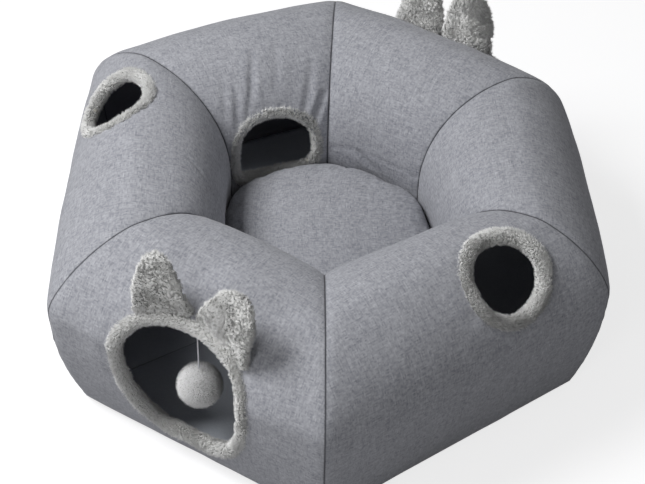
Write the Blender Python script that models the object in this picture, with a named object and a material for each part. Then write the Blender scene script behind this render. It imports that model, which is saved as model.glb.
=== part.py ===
"""Hexagonal ring tunnel for cats: six padded lengths sewn corner to corner round a lift-out cushion.

Metres, +Z up. The underside lies on z = 0 with the origin at its middle, and the front corner points to -Y.
Every layer is drawn in the tunnel's cross-section (u, z), where u is the distance from the ring's middle
measured square to a side. A corner seam is that section turned to the corner's own direction, and a side
is ruled from one corner seam to the next. A place on a sewn panel is (x, w): x runs along the side from
its middle, counterclockwise seen from above, and w runs over the section from the outer bottom edge.
"""

import math

import bmesh
import bpy
import numpy as np

# The ring's cross-section
OUTER_APOTHEM = 0.390
WELL_APOTHEM = 0.142
CREST_SHARE = 0.5605
OUTER_TUCK = 0.032
WELL_TUCK = 0.010
RING_HEIGHT = 0.300
WIDEST_HEIGHT = 0.200
NECK_HEIGHT = 0.150
SHOULDER_POWER = 1.58
BROW_POWER = 2.24
PANEL_CROWN = 0.009

# The six corner seams, from the front one round to the left one: each leans away from an even hexagon
CORNER_TURNS_DEG = (0.8, 5.3, 1.2, -2.5, -7.7, 1.9)
CORNER_OUTER_SHARES = (0.029, -0.019, -0.043, -0.009, 0.013, -0.016)
CORNER_WELL_SHARES = (0.026, -0.016, 0.014, -0.005, 0.079, -0.135)
SIDE_NAMES = ("front_right", "right", "back_right", "back_left", "left", "front_left")

# The wall's layers
COVER_THICKNESS = 0.0015
FOAM_THICKNESS = 0.006
LINING_THICKNESS = 0.001
BASE_THICKNESS = 0.003
BASE_INSET = 0.002
SEAT_GAP = 0.0003
CUT_OVERRUN = 0.012

# The plush rolls round the openings, and the outlines that their middles follow
DOOR_ROLL_RADIUS = 0.0125
PEEPHOLE_ROLL_RADIUS = 0.0105
INNER_DOOR_ROLL_RADIUS = 0.008
ROLL_CLEARANCE = 0.0010
DOOR_HALF_WIDTH = 0.1045
DOOR_ARCH_HEIGHT = 0.083
DOOR_SIDE_HEIGHT = 0.141
DOOR_SILL_RISE = 0.049
DOOR_FOOT_SHARE = 0.22
ARCH_POWER = 2.2
FOOT_POWER = 3.4
FOOT_TAPER_POWER = 1.5
FRONT_DOOR_SHIFT = -0.006
REAR_DOOR_SHIFT = -0.006
INNER_DOOR_HALF_WIDTH = 0.062
INNER_DOOR_ARCH_HEIGHT = 0.064
INNER_DOOR_SIDE_HEIGHT = 0.053
INNER_DOOR_DROP = 0.205
INNER_DOOR_FOOT_SHARE = 0.0
INNER_DOOR_SHIFT = 0.003
PEEPHOLE_RADIUS = 0.060
LEFT_PEEPHOLE_DROP = 0.051
LEFT_PEEPHOLE_SHIFT = -0.094
RIGHT_PEEPHOLE_DROP = 0.060
RIGHT_PEEPHOLE_SHIFT = 0.086

# The ears on the two doors
EAR_HEIGHT = 0.092
EAR_THICKNESS = 0.016
EAR_BOW = 0.006
EAR_LEAN_OUT_DEG = 3.0
EAR_SPLAYS_DEG = {
    "front_door_ear_left": 0.0,
    "front_door_ear_right": 14.0,
    "rear_door_ear_left": 10.0,
    "rear_door_ear_right": 0.0,
}
EAR_SPAN_DEG = (45.0, 89.6)
EAR_TAPER_POWER = 2.1
EAR_TIP_POWER = 0.64
EAR_THIN_SHARE = 0.33

# The toy in the front door
TOY_SHIFT = 0.0065
KNOT_RADIUS = 0.003
CORD_RADIUS = 0.0011
CORD_LENGTH = 0.060
POMPOM_RADIUS = 0.033

# The cushion in the middle
CUSHION_RIM_HEIGHT = 0.118
CUSHION_CROWN = 0.018
CUSHION_CLEARANCE = 0.004
CUSHION_COVER_THICKNESS = 0.0015
ZIP_LENGTH = 0.140
ZIP_WIDTH = 0.008
ZIP_THICKNESS = 0.0012

# How finely the surfaces are cut into facets
SECTION_ROWS = 18
SIDE_COLUMNS = 5
DOOR_POINTS = 32
PEEPHOLE_POINTS = 24
CURVE_SAMPLES = 60
EAR_ACROSS = 8
EAR_ROWS = 7
EAR_ROW_POWER = 1.5
CORD_STEP_SHARE = 6.0
CUSHION_SIDE_POINTS = 4
CUSHION_CORNER_POINTS = 3
CUSHION_CORNER_SHARE = 0.16

SIDES = len(SIDE_NAMES)
HALF_STEP = math.pi / SIDES
CREST_APOTHEM = WELL_APOTHEM + CREST_SHARE * (OUTER_APOTHEM - WELL_APOTHEM)
BASE_APOTHEM = OUTER_APOTHEM - OUTER_TUCK
WELL_BASE_APOTHEM = WELL_APOTHEM + WELL_TUCK
COVER_DEPTH = 0.0
FOAM_DEPTH = COVER_THICKNESS + SEAT_GAP
LINING_DEPTH = FOAM_DEPTH + FOAM_THICKNESS + SEAT_GAP
WALL_DEPTH = LINING_DEPTH + LINING_THICKNESS
TUBE_FLOOR = BASE_THICKNESS + SEAT_GAP

LINEN = ("linen_weave", (0.30, 0.31, 0.34), 0.9)
FOAM = ("foam_sheet", (0.75, 0.74, 0.70), 0.95)
LINING = ("dark_lining", (0.02, 0.022, 0.03), 0.95)
BASE_CLOTH = ("base_cloth", (0.06, 0.065, 0.075), 0.85)
PLUSH = ("plush_pile", (0.37, 0.37, 0.34), 1.0)
POMPOM_WOOL = ("pompom_wool", (0.80, 0.80, 0.84), 1.0)
CORD_COTTON = ("cord_cotton", (0.85, 0.85, 0.90), 0.8)
FILLING = ("fibre_filling", (0.85, 0.85, 0.85), 1.0)
ZIP_TAPE = ("zip_tape", (0.10, 0.10, 0.12), 0.6)


def foot_arc(widest_u, widest_z, foot_u, samples):
    """An arc from (foot_u, floor) up to (widest_u, widest_z), upright at its top, with its outward normals."""
    rise = widest_z - TUBE_FLOOR
    reach = widest_u - foot_u
    sweep = 2 * math.atan(abs(reach) / rise)
    radius = rise / math.sin(sweep)
    turn = np.linspace(-sweep, 0.0, samples)
    outward = math.copysign(1.0, reach)
    u = widest_u - outward * radius * (1 - np.cos(turn))
    z = widest_z + radius * np.sin(turn)
    return u, z, outward * np.cos(turn), np.sin(turn)


def brow_arc(widest_u, widest_z, power, samples):
    """A quarter of a superellipse from (widest_u, widest_z) up to the crest, with its outward normals."""
    reach = widest_u - CREST_APOTHEM
    rise = RING_HEIGHT - widest_z
    turn = np.linspace(0.0, math.pi / 2, samples)
    across = np.cos(turn) ** (2 / power)
    up = np.clip(np.sin(turn), 0, 1) ** (2 / power)
    nu = across ** (power - 1) / reach
    nz = up ** (power - 1) / rise
    size = np.hypot(nu, nz)
    return CREST_APOTHEM + reach * across, widest_z + rise * up, nu / size, nz / size


def section_curve():
    """The cover's outside from the outer bottom edge over the crest to the well's bottom edge."""
    outer_foot = foot_arc(OUTER_APOTHEM, WIDEST_HEIGHT, BASE_APOTHEM, CURVE_SAMPLES)
    shoulder = brow_arc(OUTER_APOTHEM, WIDEST_HEIGHT, SHOULDER_POWER, CURVE_SAMPLES)
    brow = brow_arc(WELL_APOTHEM, NECK_HEIGHT, BROW_POWER, CURVE_SAMPLES)
    well_foot = foot_arc(WELL_APOTHEM, NECK_HEIGHT, WELL_BASE_APOTHEM, CURVE_SAMPLES)
    parts = []
    for a, b, c, d in zip(outer_foot, shoulder, brow, well_foot):
        parts.append(np.concatenate([a, b[1:], c[::-1][1:], d[::-1][1:]]))
    return np.array(parts)


SECTION = section_curve()
SECTION_LENGTHS = np.concatenate([[0.0], np.cumsum(np.hypot(*np.diff(SECTION[:2], axis=1)))])
SECTION_LENGTH = SECTION_LENGTHS[-1]
CREST_AT = SECTION_LENGTHS[2 * CURVE_SAMPLES - 2]
NECK_AT = SECTION_LENGTHS[3 * CURVE_SAMPLES - 3]


def section_rows():
    """Places w of the facets' edges: they lie closer together where the section turns faster."""
    turning = np.unwrap(np.arctan2(SECTION[3], SECTION[2]))
    travelled = SECTION_LENGTHS / SECTION_LENGTH
    turned = (turning - turning[0]) / (turning[-1] - turning[0])
    return np.interp(np.linspace(0, 2, SECTION_ROWS), travelled + turned, SECTION_LENGTHS)


ROWS = section_rows()


def corner_place(corner, u, z):
    """The section's point (u, z), turned and stretched to a corner seam."""
    index = corner % SIDES
    direction = 2 * HALF_STEP * index - math.pi / 2 + math.radians(CORNER_TURNS_DEG[index])
    outward = (u - WELL_APOTHEM) / (OUTER_APOTHEM - WELL_APOTHEM)
    well_share, outer_share = CORNER_WELL_SHARES[index], CORNER_OUTER_SHARES[index]
    reach = u / math.cos(HALF_STEP) * (1 + well_share * (1 - outward) + outer_share * outward)
    return np.stack([reach * math.cos(direction), reach * math.sin(direction), z], axis=-1)


def ruled(side, along, u, z):
    """A point of a side: along is 0 at its first corner seam and 1 at its second."""
    along = np.asarray(along)[..., None]
    return (1 - along) * corner_place(side, u, z) + along * corner_place(side + 1, u, z)


def panel_section(w, depth, along):
    """(u, z) at w, this far under the cover's outside, with the side's swell added."""
    u, z, nu, nz = (np.interp(w, SECTION_LENGTHS, values) for values in SECTION)
    swell = PANEL_CROWN * (1 - (2 * along - 1) ** 2) * np.sin(math.pi * w / SECTION_LENGTH)
    return u + nu * (swell - depth), z + nz * (swell - depth)


def side_length(side, w):
    """The side's length between its corner seams at w."""
    u, z = panel_section(w, COVER_DEPTH, 0.0)
    return np.linalg.norm(corner_place(side + 1, u, z) - corner_place(side, u, z), axis=-1)


def raw_panel_place(side, x, w, depth):
    """The point of a side's wall at (x, w), before the ring is centred."""
    x, w = np.broadcast_arrays(np.asarray(x, float), np.asarray(w, float))
    along = 0.5 + x / side_length(side, w)
    return ruled(side, along, *panel_section(w, depth, along))


def ring_middle():
    """The middle of the ring's own box in plan, which becomes the origin."""
    along = np.linspace(0, 1, SIDE_COLUMNS)
    widest = SECTION_LENGTHS[np.argmax(SECTION[0])]
    points = [ruled(side, along, *panel_section(widest, COVER_DEPTH, along)) for side in range(SIDES)]
    points = np.concatenate(points)
    middle = (points.max(axis=0) + points.min(axis=0)) / 2
    return middle * (1, 1, 0)


MIDDLE = ring_middle()


def panel_place(side, x, w, depth):
    """The point of a side's wall at (x, w), this far under the cover's outside."""
    return raw_panel_place(side, x, w, depth) - MIDDLE


def layer_rows(depth):
    """The facets' edges of a layer, with its first and last ones where it meets the tunnel's floor."""
    dense = np.linspace(0, SECTION_LENGTH, CURVE_SAMPLES * CURVE_SAMPLES)
    height = panel_section(dense, depth, 0.0)[1]
    above = np.flatnonzero(height >= TUBE_FLOOR + depth)
    rows = ROWS.copy()
    rows[0], rows[-1] = dense[above[0]], dense[above[-1]]
    return rows


def material(finish):
    name, colour, roughness = finish
    found = bpy.data.materials.get(name)
    if found:
        return found
    made = bpy.data.materials.new(name)
    made.use_nodes = True
    shader = made.node_tree.nodes["Principled BSDF"]
    shader.inputs["Base Color"].default_value = (*colour, 1.0)
    shader.inputs["Roughness"].default_value = roughness
    shader.inputs["Metallic"].default_value = 0.0
    return made


def add_object(name, data, finish):
    made = bpy.data.objects.new(name, data)
    bpy.context.scene.collection.objects.link(made)
    data.materials.append(material(finish))
    return made


def add_mesh(name, points, faces, finish, smooth=True):
    mesh = bpy.data.meshes.new(name)
    mesh.from_pydata([tuple(point) for point in points], [], faces)
    work = bmesh.new()
    work.from_mesh(mesh)
    bmesh.ops.recalc_face_normals(work, faces=work.faces)
    work.to_mesh(mesh)
    work.free()
    if smooth:
        mesh.shade_smooth()
    return add_object(name, mesh, finish)


def cut(target, cutter):
    """Takes the cutter's shape out of the target with a live Boolean."""
    modifier = target.modifiers.new(f"cut_{cutter.name}", "BOOLEAN")
    modifier.object = cutter
    modifier.operation = "DIFFERENCE"
    modifier.solver = "EXACT"


def unit(vectors):
    return vectors / np.linalg.norm(vectors, axis=-1, keepdims=True)


def as_cutter(helper):
    helper.hide_render = True
    helper.display_type = "WIRE"
    return helper


def facet_pair(a, b, c, d):
    """Two triangles that share the diagonal a to c, so that layers one under another bend alike."""
    return [a, b, c], [a, c, d]


def wall_layer(name, side, depth, thickness, finish, with_floor):
    """One layer of one side: a length of tube, which is open underneath unless it has a floor."""
    ends = SEAT_GAP / 2 / side_length(side, CREST_AT)
    columns = np.linspace(ends, 1 - ends, SIDE_COLUMNS)
    loops = []
    for along in columns:
        outside = ruled(side, along, *panel_section(layer_rows(depth), depth, along))
        inside_depth = depth + thickness
        inside = ruled(side, along, *panel_section(layer_rows(inside_depth), inside_depth, along))
        loops.append(np.concatenate([outside, inside]) - MIDDLE)
    points = np.concatenate(loops)
    count = SECTION_ROWS
    size = 2 * count
    links = [(i, i + 1) for i in range(count - 1)]
    if with_floor:
        links.append((count - 1, 0))
    faces = []
    for column in range(SIDE_COLUMNS - 1):
        here, there = column * size, (column + 1) * size
        for skin in (0, count):
            for i, j in links:
                faces.extend(facet_pair(here + skin + i, here + skin + j, there + skin + j, there + skin + i))
        if not with_floor:
            for i in (0, count - 1):
                faces.extend(facet_pair(here + i, here + count + i, there + count + i, there + i))
    for start in (0, (SIDE_COLUMNS - 1) * size):
        for i, j in links:
            faces.extend(facet_pair(start + i, start + j, start + count + j, start + count + i))
    return add_mesh(name, points, faces, finish)


def arch_outline(half_width, arch_height, side_height, foot_share, grow, angles):
    """A door's outline (x, rise) round its widest line: an arch above, and a squarer foot that draws in."""
    across, up = np.cos(angles), np.sin(angles)
    arch = up >= 0
    power = np.where(arch, ARCH_POWER, FOOT_POWER)
    x = (half_width + grow) * np.sign(across) * np.abs(across) ** (2 / power)
    rise = np.where(arch, arch_height + grow, side_height + grow) * np.sign(up) * np.abs(up) ** (2 / power)
    draw_in = np.where(arch, 0.0, foot_share * np.clip(-rise / (side_height + grow), 0, 1) ** FOOT_TAPER_POWER)
    return x * (1 - draw_in), rise


class Opening:
    """A bound opening in one side: its outline lies round (x, w), and up says which way w rises."""

    def __init__(self, side_name, x, w, up, outline, roll_radius, points):
        self.side = SIDE_NAMES.index(side_name)
        self.x, self.w, self.up = x, w, up
        self.outline = outline
        self.roll_radius = roll_radius
        self.angles = np.linspace(0, 2 * math.pi, points, endpoint=False)

    def places(self, angles, grow, depth):
        """Points on the wall along the outline, moved outwards by grow."""
        x, rise = self.outline(grow, angles)
        return panel_place(self.side, self.x + self.up * x, self.w + self.up * rise, depth)

    def roll_path(self):
        """The roll's middle, half way through the wall, with the ways out of the wall and away from the hole."""
        path = self.places(self.angles, 0.0, WALL_DEPTH / 2)
        tangent = unit(np.roll(path, -1, axis=0) - np.roll(path, 1, axis=0))
        normal = unit(self.places(self.angles, 0.0, COVER_DEPTH) - self.places(self.angles, 0.0, WALL_DEPTH))
        away = unit(np.cross(tangent, normal))
        away *= np.sign(np.sum(away * (path - path.mean(axis=0)), axis=1, keepdims=True))
        return path, normal, away

    def cutter(self, name):
        """A plug through the wall, square to it all round, up to the roll's outside."""
        path, normal, away = self.roll_path()
        rim = path + away * (self.roll_radius + ROLL_CLEARANCE)
        reach = WALL_DEPTH / 2 + CUT_OVERRUN
        middle = panel_place(self.side, self.x, self.w, np.array([-CUT_OVERRUN, WALL_DEPTH + CUT_OVERRUN]))
        count = len(path)
        faces = []
        for i in range(count):
            j = (i + 1) % count
            faces.extend([[i, j, count + j, count + i], [j, i, 2 * count], [count + i, count + j, 2 * count + 1]])
        points = np.concatenate([rim + normal * reach, rim - normal * reach, middle])
        return as_cutter(add_mesh(name, points, faces, PLUSH, smooth=False))

    def roll(self, name):
        """The plush roll, sewn round the opening."""
        curve = bpy.data.curves.new(name, "CURVE")
        curve.dimensions = "3D"
        curve.bevel_depth = self.roll_radius
        curve.bevel_resolution = 2
        spline = curve.splines.new("POLY")
        path = self.roll_path()[0]
        spline.points.add(len(path) - 1)
        for point, place in zip(spline.points, path):
            point.co = (*place, 1.0)
        spline.use_cyclic_u = True
        return add_object(name, curve, PLUSH)


def door_outline(grow, angles):
    return arch_outline(
        DOOR_HALF_WIDTH, DOOR_ARCH_HEIGHT, DOOR_SIDE_HEIGHT, DOOR_FOOT_SHARE, grow, angles
    )


def inner_door_outline(grow, angles):
    return arch_outline(
        INNER_DOOR_HALF_WIDTH,
        INNER_DOOR_ARCH_HEIGHT,
        INNER_DOOR_SIDE_HEIGHT,
        INNER_DOOR_FOOT_SHARE,
        grow,
        angles,
    )


def round_outline(grow, angles):
    radius = PEEPHOLE_RADIUS + grow
    return radius * np.cos(angles), radius * np.sin(angles)


def openings():
    """The five openings by name. On the well's wall w runs down, so that door is turned over."""
    door_at = DOOR_SILL_RISE + DOOR_SIDE_HEIGHT
    inner_at = CREST_AT + INNER_DOOR_DROP
    left_at, right_at = CREST_AT - LEFT_PEEPHOLE_DROP, CREST_AT - RIGHT_PEEPHOLE_DROP
    door = (1, door_outline, DOOR_ROLL_RADIUS, DOOR_POINTS)
    inner_door = (-1, inner_door_outline, INNER_DOOR_ROLL_RADIUS, DOOR_POINTS)
    peephole = (1, round_outline, PEEPHOLE_ROLL_RADIUS, PEEPHOLE_POINTS)
    return {
        "front_door": Opening("front_left", FRONT_DOOR_SHIFT, door_at, *door),
        "rear_door": Opening("back_right", REAR_DOOR_SHIFT, door_at, *door),
        "inner_door": Opening("back_left", INNER_DOOR_SHIFT, inner_at, *inner_door),
        "left_peephole": Opening("left", LEFT_PEEPHOLE_SHIFT, left_at, *peephole),
        "right_peephole": Opening("front_right", RIGHT_PEEPHOLE_SHIFT, right_at, *peephole),
    }


def make_walls(holes):
    """Cover, foam and lining of each side, cut where that side has an opening."""
    cutters = {hole.side: hole.cutter(f"cutter_{name}") for name, hole in holes.items()}
    for side, side_name in enumerate(SIDE_NAMES):
        layers = (
            wall_layer(f"cover_{side_name}", side, COVER_DEPTH, COVER_THICKNESS, LINEN, False),
            wall_layer(f"foam_{side_name}", side, FOAM_DEPTH, FOAM_THICKNESS, FOAM, True),
            wall_layer(f"lining_{side_name}", side, LINING_DEPTH, LINING_THICKNESS, LINING, True),
        )
        if side in cutters:
            for layer in layers:
                cut(layer, cutters[side])


def make_base():
    """The bottom cloth, one hexagon under the ring and the well."""
    u = BASE_APOTHEM - BASE_INSET
    points = []
    for z in (0.0, BASE_THICKNESS):
        points.extend(corner_place(corner, u, z) - MIDDLE for corner in range(SIDES))
    faces = [list(range(SIDES)), list(range(SIDES, 2 * SIDES))]
    for i in range(SIDES):
        j = (i + 1) % SIDES
        faces.append([i, j, SIDES + j, SIDES + i])
    add_mesh("base_panel", points, faces, BASE_CLOTH, smooth=False)


def side_directions(side):
    """A side's own directions: along its outer edge, and straight out from it."""
    ends = [corner_place(corner, OUTER_APOTHEM, 0.0) for corner in (side, side + 1)]
    along = (ends[1] - ends[0]) / np.linalg.norm(ends[1] - ends[0])
    return along, np.array([along[1], -along[0], 0.0])


def make_ear(name, door, mirror):
    """A padded ear: its foot follows the door's roll on the cover, and it rises to a round tip."""
    along, outward = side_directions(door.side)
    lean, splay = math.radians(EAR_LEAN_OUT_DEG), math.radians(EAR_SPLAYS_DEG[name])
    rise = np.array([0.0, 0.0, math.cos(lean)]) + math.sin(lean) * outward
    rise = math.cos(splay) * rise + mirror * math.sin(splay) * along
    front = np.cross(along, rise)
    front *= np.sign(front @ outward) / np.linalg.norm(front)
    first, last = (math.radians(turn) for turn in EAR_SPAN_DEG)
    across = np.linspace(-1, 1, EAR_ACROSS + 1)
    turns = first + (last - first) * (across + 1) / 2
    turns = turns if mirror > 0 else math.pi - turns
    foot_front = door.roll_radius + SEAT_GAP
    foot_middle = foot_front + EAR_THICKNESS / 2
    foot_back = foot_front + EAR_THICKNESS
    feet = {grow: door.places(turns, grow, -SEAT_GAP) for grow in (foot_front, foot_middle, foot_back)}
    centre_line = feet[foot_middle]
    centre = centre_line[EAR_ACROSS // 2]
    spread = centre_line - centre
    lift = (spread @ rise)[:, None]
    flat_spread = spread - lift * rise
    levels = 1 - (1 - np.linspace(0, 1, EAR_ROWS + 1)[1:-1]) ** EAR_ROW_POWER
    points, front_rows, back_rows = [], [], []

    def keep(place):
        points.append(place)
        return len(points) - 1

    first_end, last_end = keep(centre_line[0]), keep(centre_line[-1])
    front_rows.append([first_end, *(keep(p) for p in feet[foot_front][1:-1]), last_end])
    back_rows.append([first_end, *(keep(p) for p in feet[foot_back][1:-1]), last_end])
    under = [first_end, *(keep(p) for p in centre_line[1:-1]), last_end]
    for level in levels:
        narrow = (1 - level**EAR_TAPER_POWER) ** EAR_TIP_POWER
        line = centre + narrow * flat_spread + ((1 - level) * lift + level * EAR_HEIGHT) * rise
        half = EAR_THICKNESS / 2 * np.sqrt(1 - across**2) * (1 - EAR_THIN_SHARE * level)
        bow = EAR_BOW * math.sin(math.pi * level)
        ends = [keep(line[i] + bow * front) for i in (0, -1)]
        for rows, sign in ((front_rows, 1), (back_rows, -1)):
            middle = [keep(line[i] + (bow + sign * half[i]) * front) for i in range(1, EAR_ACROSS)]
            rows.append([ends[0], *middle, ends[1]])
    tip = keep(centre + EAR_HEIGHT * rise)
    faces = []
    for rows in (front_rows, back_rows):
        for low, high in zip(rows[:-1], rows[1:]):
            faces.extend([low[i], low[i + 1], high[i + 1], high[i]] for i in range(EAR_ACROSS))
        faces.extend([rows[-1][i], rows[-1][i + 1], tip] for i in range(EAR_ACROSS))
        for i in range(EAR_ACROSS):
            corners = [rows[0][i], rows[0][i + 1], under[i + 1], under[i]]
            faces.append(list(dict.fromkeys(corners)))
    add_mesh(name, points, faces, PLUSH)


def make_toy(door):
    """The pom-pom on its cord, which hangs straight down from a knot under the front door's roll."""
    turn = math.acos(TOY_SHIFT / DOOR_HALF_WIDTH)
    roll_middle = door.places(np.array([turn]), 0.0, WALL_DEPTH / 2)[0]
    down = np.array([0.0, 0.0, -1.0])
    knot = roll_middle + down * (door.roll_radius + SEAT_GAP + KNOT_RADIUS)
    cord_top = knot + down * (KNOT_RADIUS + SEAT_GAP)
    cord_end = cord_top + down * CORD_LENGTH
    pompom = cord_end + down * (SEAT_GAP + POMPOM_RADIUS)
    for name, place, radius, divisions, finish in (
        ("toy_knot", knot, KNOT_RADIUS, 2, CORD_COTTON),
        ("pompom", pompom, POMPOM_RADIUS, 3, POMPOM_WOOL),
    ):
        mesh = bpy.data.meshes.new(name)
        ball = bmesh.new()
        bmesh.ops.create_icosphere(ball, subdivisions=divisions, radius=radius)
        ball.to_mesh(mesh)
        ball.free()
        mesh.shade_smooth()
        add_object(name, mesh, finish).location = place
    curve = bpy.data.curves.new("toy_cord", "CURVE")
    curve.dimensions = "3D"
    curve.bevel_depth = CORD_RADIUS
    curve.bevel_resolution = 2
    curve.use_fill_caps = True
    spline = curve.splines.new("POLY")
    steps = round(CORD_LENGTH / (CORD_STEP_SHARE * CORD_RADIUS))
    spline.points.add(steps)
    for i, point in enumerate(spline.points):
        point.co = (*(down * CORD_LENGTH * i / steps), 1.0)
    add_object("toy_cord", curve, CORD_COTTON).location = cord_top


def well_outline():
    """The well's outline at its neck, with round corners, drawn in by the cushion's clearance."""
    def neck(side, along):
        return ruled(side, along, *panel_section(NECK_AT, -CUSHION_CLEARANCE, along))[:2]

    points = []
    for side in range(SIDES):
        for along in np.linspace(CUSHION_CORNER_SHARE, 1 - CUSHION_CORNER_SHARE, CUSHION_SIDE_POINTS):
            points.append(neck(side, along))
        first, corner = neck(side, 1 - CUSHION_CORNER_SHARE), neck(side, 1.0)
        last = neck(side + 1, CUSHION_CORNER_SHARE)
        for share in np.linspace(0, 1, CUSHION_CORNER_POINTS + 2)[1:-1]:
            keep, reach = (1 - share) ** 2, share**2
            points.append(keep * first + 2 * share * (1 - share) * corner + reach * last)
    return np.array(points) - MIDDLE[:2]


# Across from the middle, and up from the underside, as shares of the cushion's half width and rim height
CUSHION_TOP_SHARES = (0.30, 0.55, 0.76, 0.91)
CUSHION_SIDE_SHARES = ((0.975, 1.0), (1.0, 0.88), (0.99, 0.62), (0.975, 0.36), (0.955, 0.12))
CUSHION_FOOT_SHARES = (0.90, 0.45)


def cushion_profile(inset):
    """(share of the outline, height) pairs from the crown down the side to the underside's middle."""
    rim, half_width = CUSHION_RIM_HEIGHT, WELL_APOTHEM
    pull = inset / half_width
    low = TUBE_FLOOR + inset
    top = [
        (across * (1 - pull), low + rim - 2 * inset + CUSHION_CROWN * (1 - across**2))
        for across in CUSHION_TOP_SHARES
    ]
    side = [(across - pull, low + (rim - 2 * inset) * up) for across, up in CUSHION_SIDE_SHARES]
    foot = [(across * (1 - pull), low) for across in CUSHION_FOOT_SHARES]
    return top + side + foot, low + rim - 2 * inset + CUSHION_CROWN, low


def cushion_shell(outline, inset):
    """Points and faces of the cushion's form, this far inside its outside."""
    centre = outline.mean(axis=0)
    profile, crown_z, low = cushion_profile(inset)
    count = len(outline)
    points = []
    for across, z in profile:
        ring = centre + across * (outline - centre)
        points.extend((x, y, z) for x, y in ring)
    points.extend([(*centre, crown_z), (*centre, low)])
    faces = []
    for ring in range(len(profile) - 1):
        here, there = ring * count, (ring + 1) * count
        for i in range(count):
            j = (i + 1) % count
            faces.append([here + i, here + j, there + j, there + i])
    last = (len(profile) - 1) * count
    for i in range(count):
        j = (i + 1) % count
        faces.append([j, i, len(points) - 2])
        faces.append([last + i, last + j, len(points) - 1])
    return points, faces


def add_box(name, low, high, finish):
    mesh = bpy.data.meshes.new(name)
    work = bmesh.new()
    bmesh.ops.create_cube(work, size=1.0)
    low, high = np.array(low), np.array(high)
    for vertex in work.verts:
        vertex.co = tuple((low + high) / 2 + np.array(vertex.co) * (high - low))
    work.to_mesh(mesh)
    work.free()
    return add_object(name, mesh, finish)


def make_cushion():
    """The lift-out cushion: its filling, its cover with a zip underneath, and the zip's tape."""
    outline = well_outline()
    middle_x, middle_y = outline.mean(axis=0)
    inner = CUSHION_COVER_THICKNESS
    cover = add_mesh("cushion_cover", *cushion_shell(outline, 0.0), LINEN)
    hollow = as_cutter(add_mesh("cutter_cushion_hollow", *cushion_shell(outline, inner), FILLING))
    cut(cover, hollow)
    half_length, half_width = ZIP_LENGTH / 2, ZIP_WIDTH / 2
    slot_length, slot_width = half_length + SEAT_GAP, half_width + SEAT_GAP
    slot = add_box(
        "cutter_cushion_zip",
        (middle_x - slot_length, middle_y - slot_width, TUBE_FLOOR - CUSHION_COVER_THICKNESS),
        (middle_x + slot_length, middle_y + slot_width, TUBE_FLOOR + 2 * CUSHION_COVER_THICKNESS),
        ZIP_TAPE,
    )
    cut(cover, as_cutter(slot))
    add_box(
        "cushion_zip",
        (middle_x - half_length, middle_y - half_width, TUBE_FLOOR),
        (middle_x + half_length, middle_y + half_width, TUBE_FLOOR + ZIP_THICKNESS),
        ZIP_TAPE,
    )
    add_mesh("cushion_filling", *cushion_shell(outline, inner + SEAT_GAP), FILLING)


def main():
    for item in list(bpy.data.objects):
        bpy.data.objects.remove(item, do_unlink=True)
    holes = openings()
    make_base()
    make_walls(holes)
    for name, hole in holes.items():
        hole.roll(f"{name}_trim")
    for door_name in ("front_door", "rear_door"):
        for ear_name, mirror in (("left", -1), ("right", 1)):
            make_ear(f"{door_name}_ear_{ear_name}", holes[door_name], mirror)
    make_toy(holes["front_door"])
    make_cushion()


main()
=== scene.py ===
"""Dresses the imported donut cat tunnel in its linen, lining, plush, toy and cushion, and lights it.

Metres, +Z up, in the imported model's own frame. The ring is drawn in the tunnel's cross-section (u, z), where
u is the distance from the ring's middle square to a side. A place on a sewn panel is (x, w): x runs along the
side from its middle, counterclockwise seen from above, and w runs over the section from the outer bottom edge
up the outside, over the crest and down into the well.
"""

import logging
import math
from dataclasses import dataclass, field, replace
from enum import Enum
from functools import cached_property

import bpy
import numpy as np
from mathutils import Matrix
from mathutils.kdtree import KDTree


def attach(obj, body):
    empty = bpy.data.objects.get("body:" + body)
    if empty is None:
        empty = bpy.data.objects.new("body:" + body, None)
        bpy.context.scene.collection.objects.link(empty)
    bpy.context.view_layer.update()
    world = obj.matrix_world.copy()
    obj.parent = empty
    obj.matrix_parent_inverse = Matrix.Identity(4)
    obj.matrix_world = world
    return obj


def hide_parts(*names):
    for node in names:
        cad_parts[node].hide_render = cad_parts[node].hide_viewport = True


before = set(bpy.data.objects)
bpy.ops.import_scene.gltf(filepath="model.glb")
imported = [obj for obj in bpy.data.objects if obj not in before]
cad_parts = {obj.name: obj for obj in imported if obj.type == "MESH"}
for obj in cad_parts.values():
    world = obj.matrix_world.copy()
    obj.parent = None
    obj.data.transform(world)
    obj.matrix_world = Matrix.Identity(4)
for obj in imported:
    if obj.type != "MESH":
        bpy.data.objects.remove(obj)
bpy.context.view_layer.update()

Array = np.ndarray
Socket = bpy.types.NodeSocket
LOG = logging.getLogger("cat_tunnel")

MM = 0.001

SIDE_NAMES = ("front_right", "right", "back_right", "back_left", "left", "front_left")
SIDES = len(SIDE_NAMES)

WHITE = (1.0, 1.0, 1.0, 1.0)

# The whole wall, from the cover's outside to the lining's inside
WALL_DEPTH = 9.1 * MM

# Which noise each unevenness takes: a side's number is added to the first six
LUMPS, DIMPLES, PUCKERS, GATHERS, WRINKLES, FLOOR_WAVES = 11, 31, 51, 71, 91, 111
SEAM_GATHERS, DENTS, SMALL_DENTS, POMPOM_PLACES, POMPOM_TUFTS = 301, 311, 312, 500, 501


# ---------------------------------------------------------------- small sums


def unit(vectors: Array) -> Array:
    """Vectors of length 1 in the same directions."""
    return vectors / np.maximum(np.linalg.norm(vectors, axis=-1, keepdims=True), 1e-12)


def fade(share: Array) -> Array:
    """A smooth step: 0 below 0, 1 above 1, and 3s^2 - 2s^3 between."""
    share = np.clip(share, 0.0, 1.0)
    return share * share * (3 - 2 * share)


def bell(distance: Array, width: float) -> Array:
    """A soft bump that falls away on both sides: exp(-(distance / width)^2)."""
    return np.exp(-((distance / width) ** 2))


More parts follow.
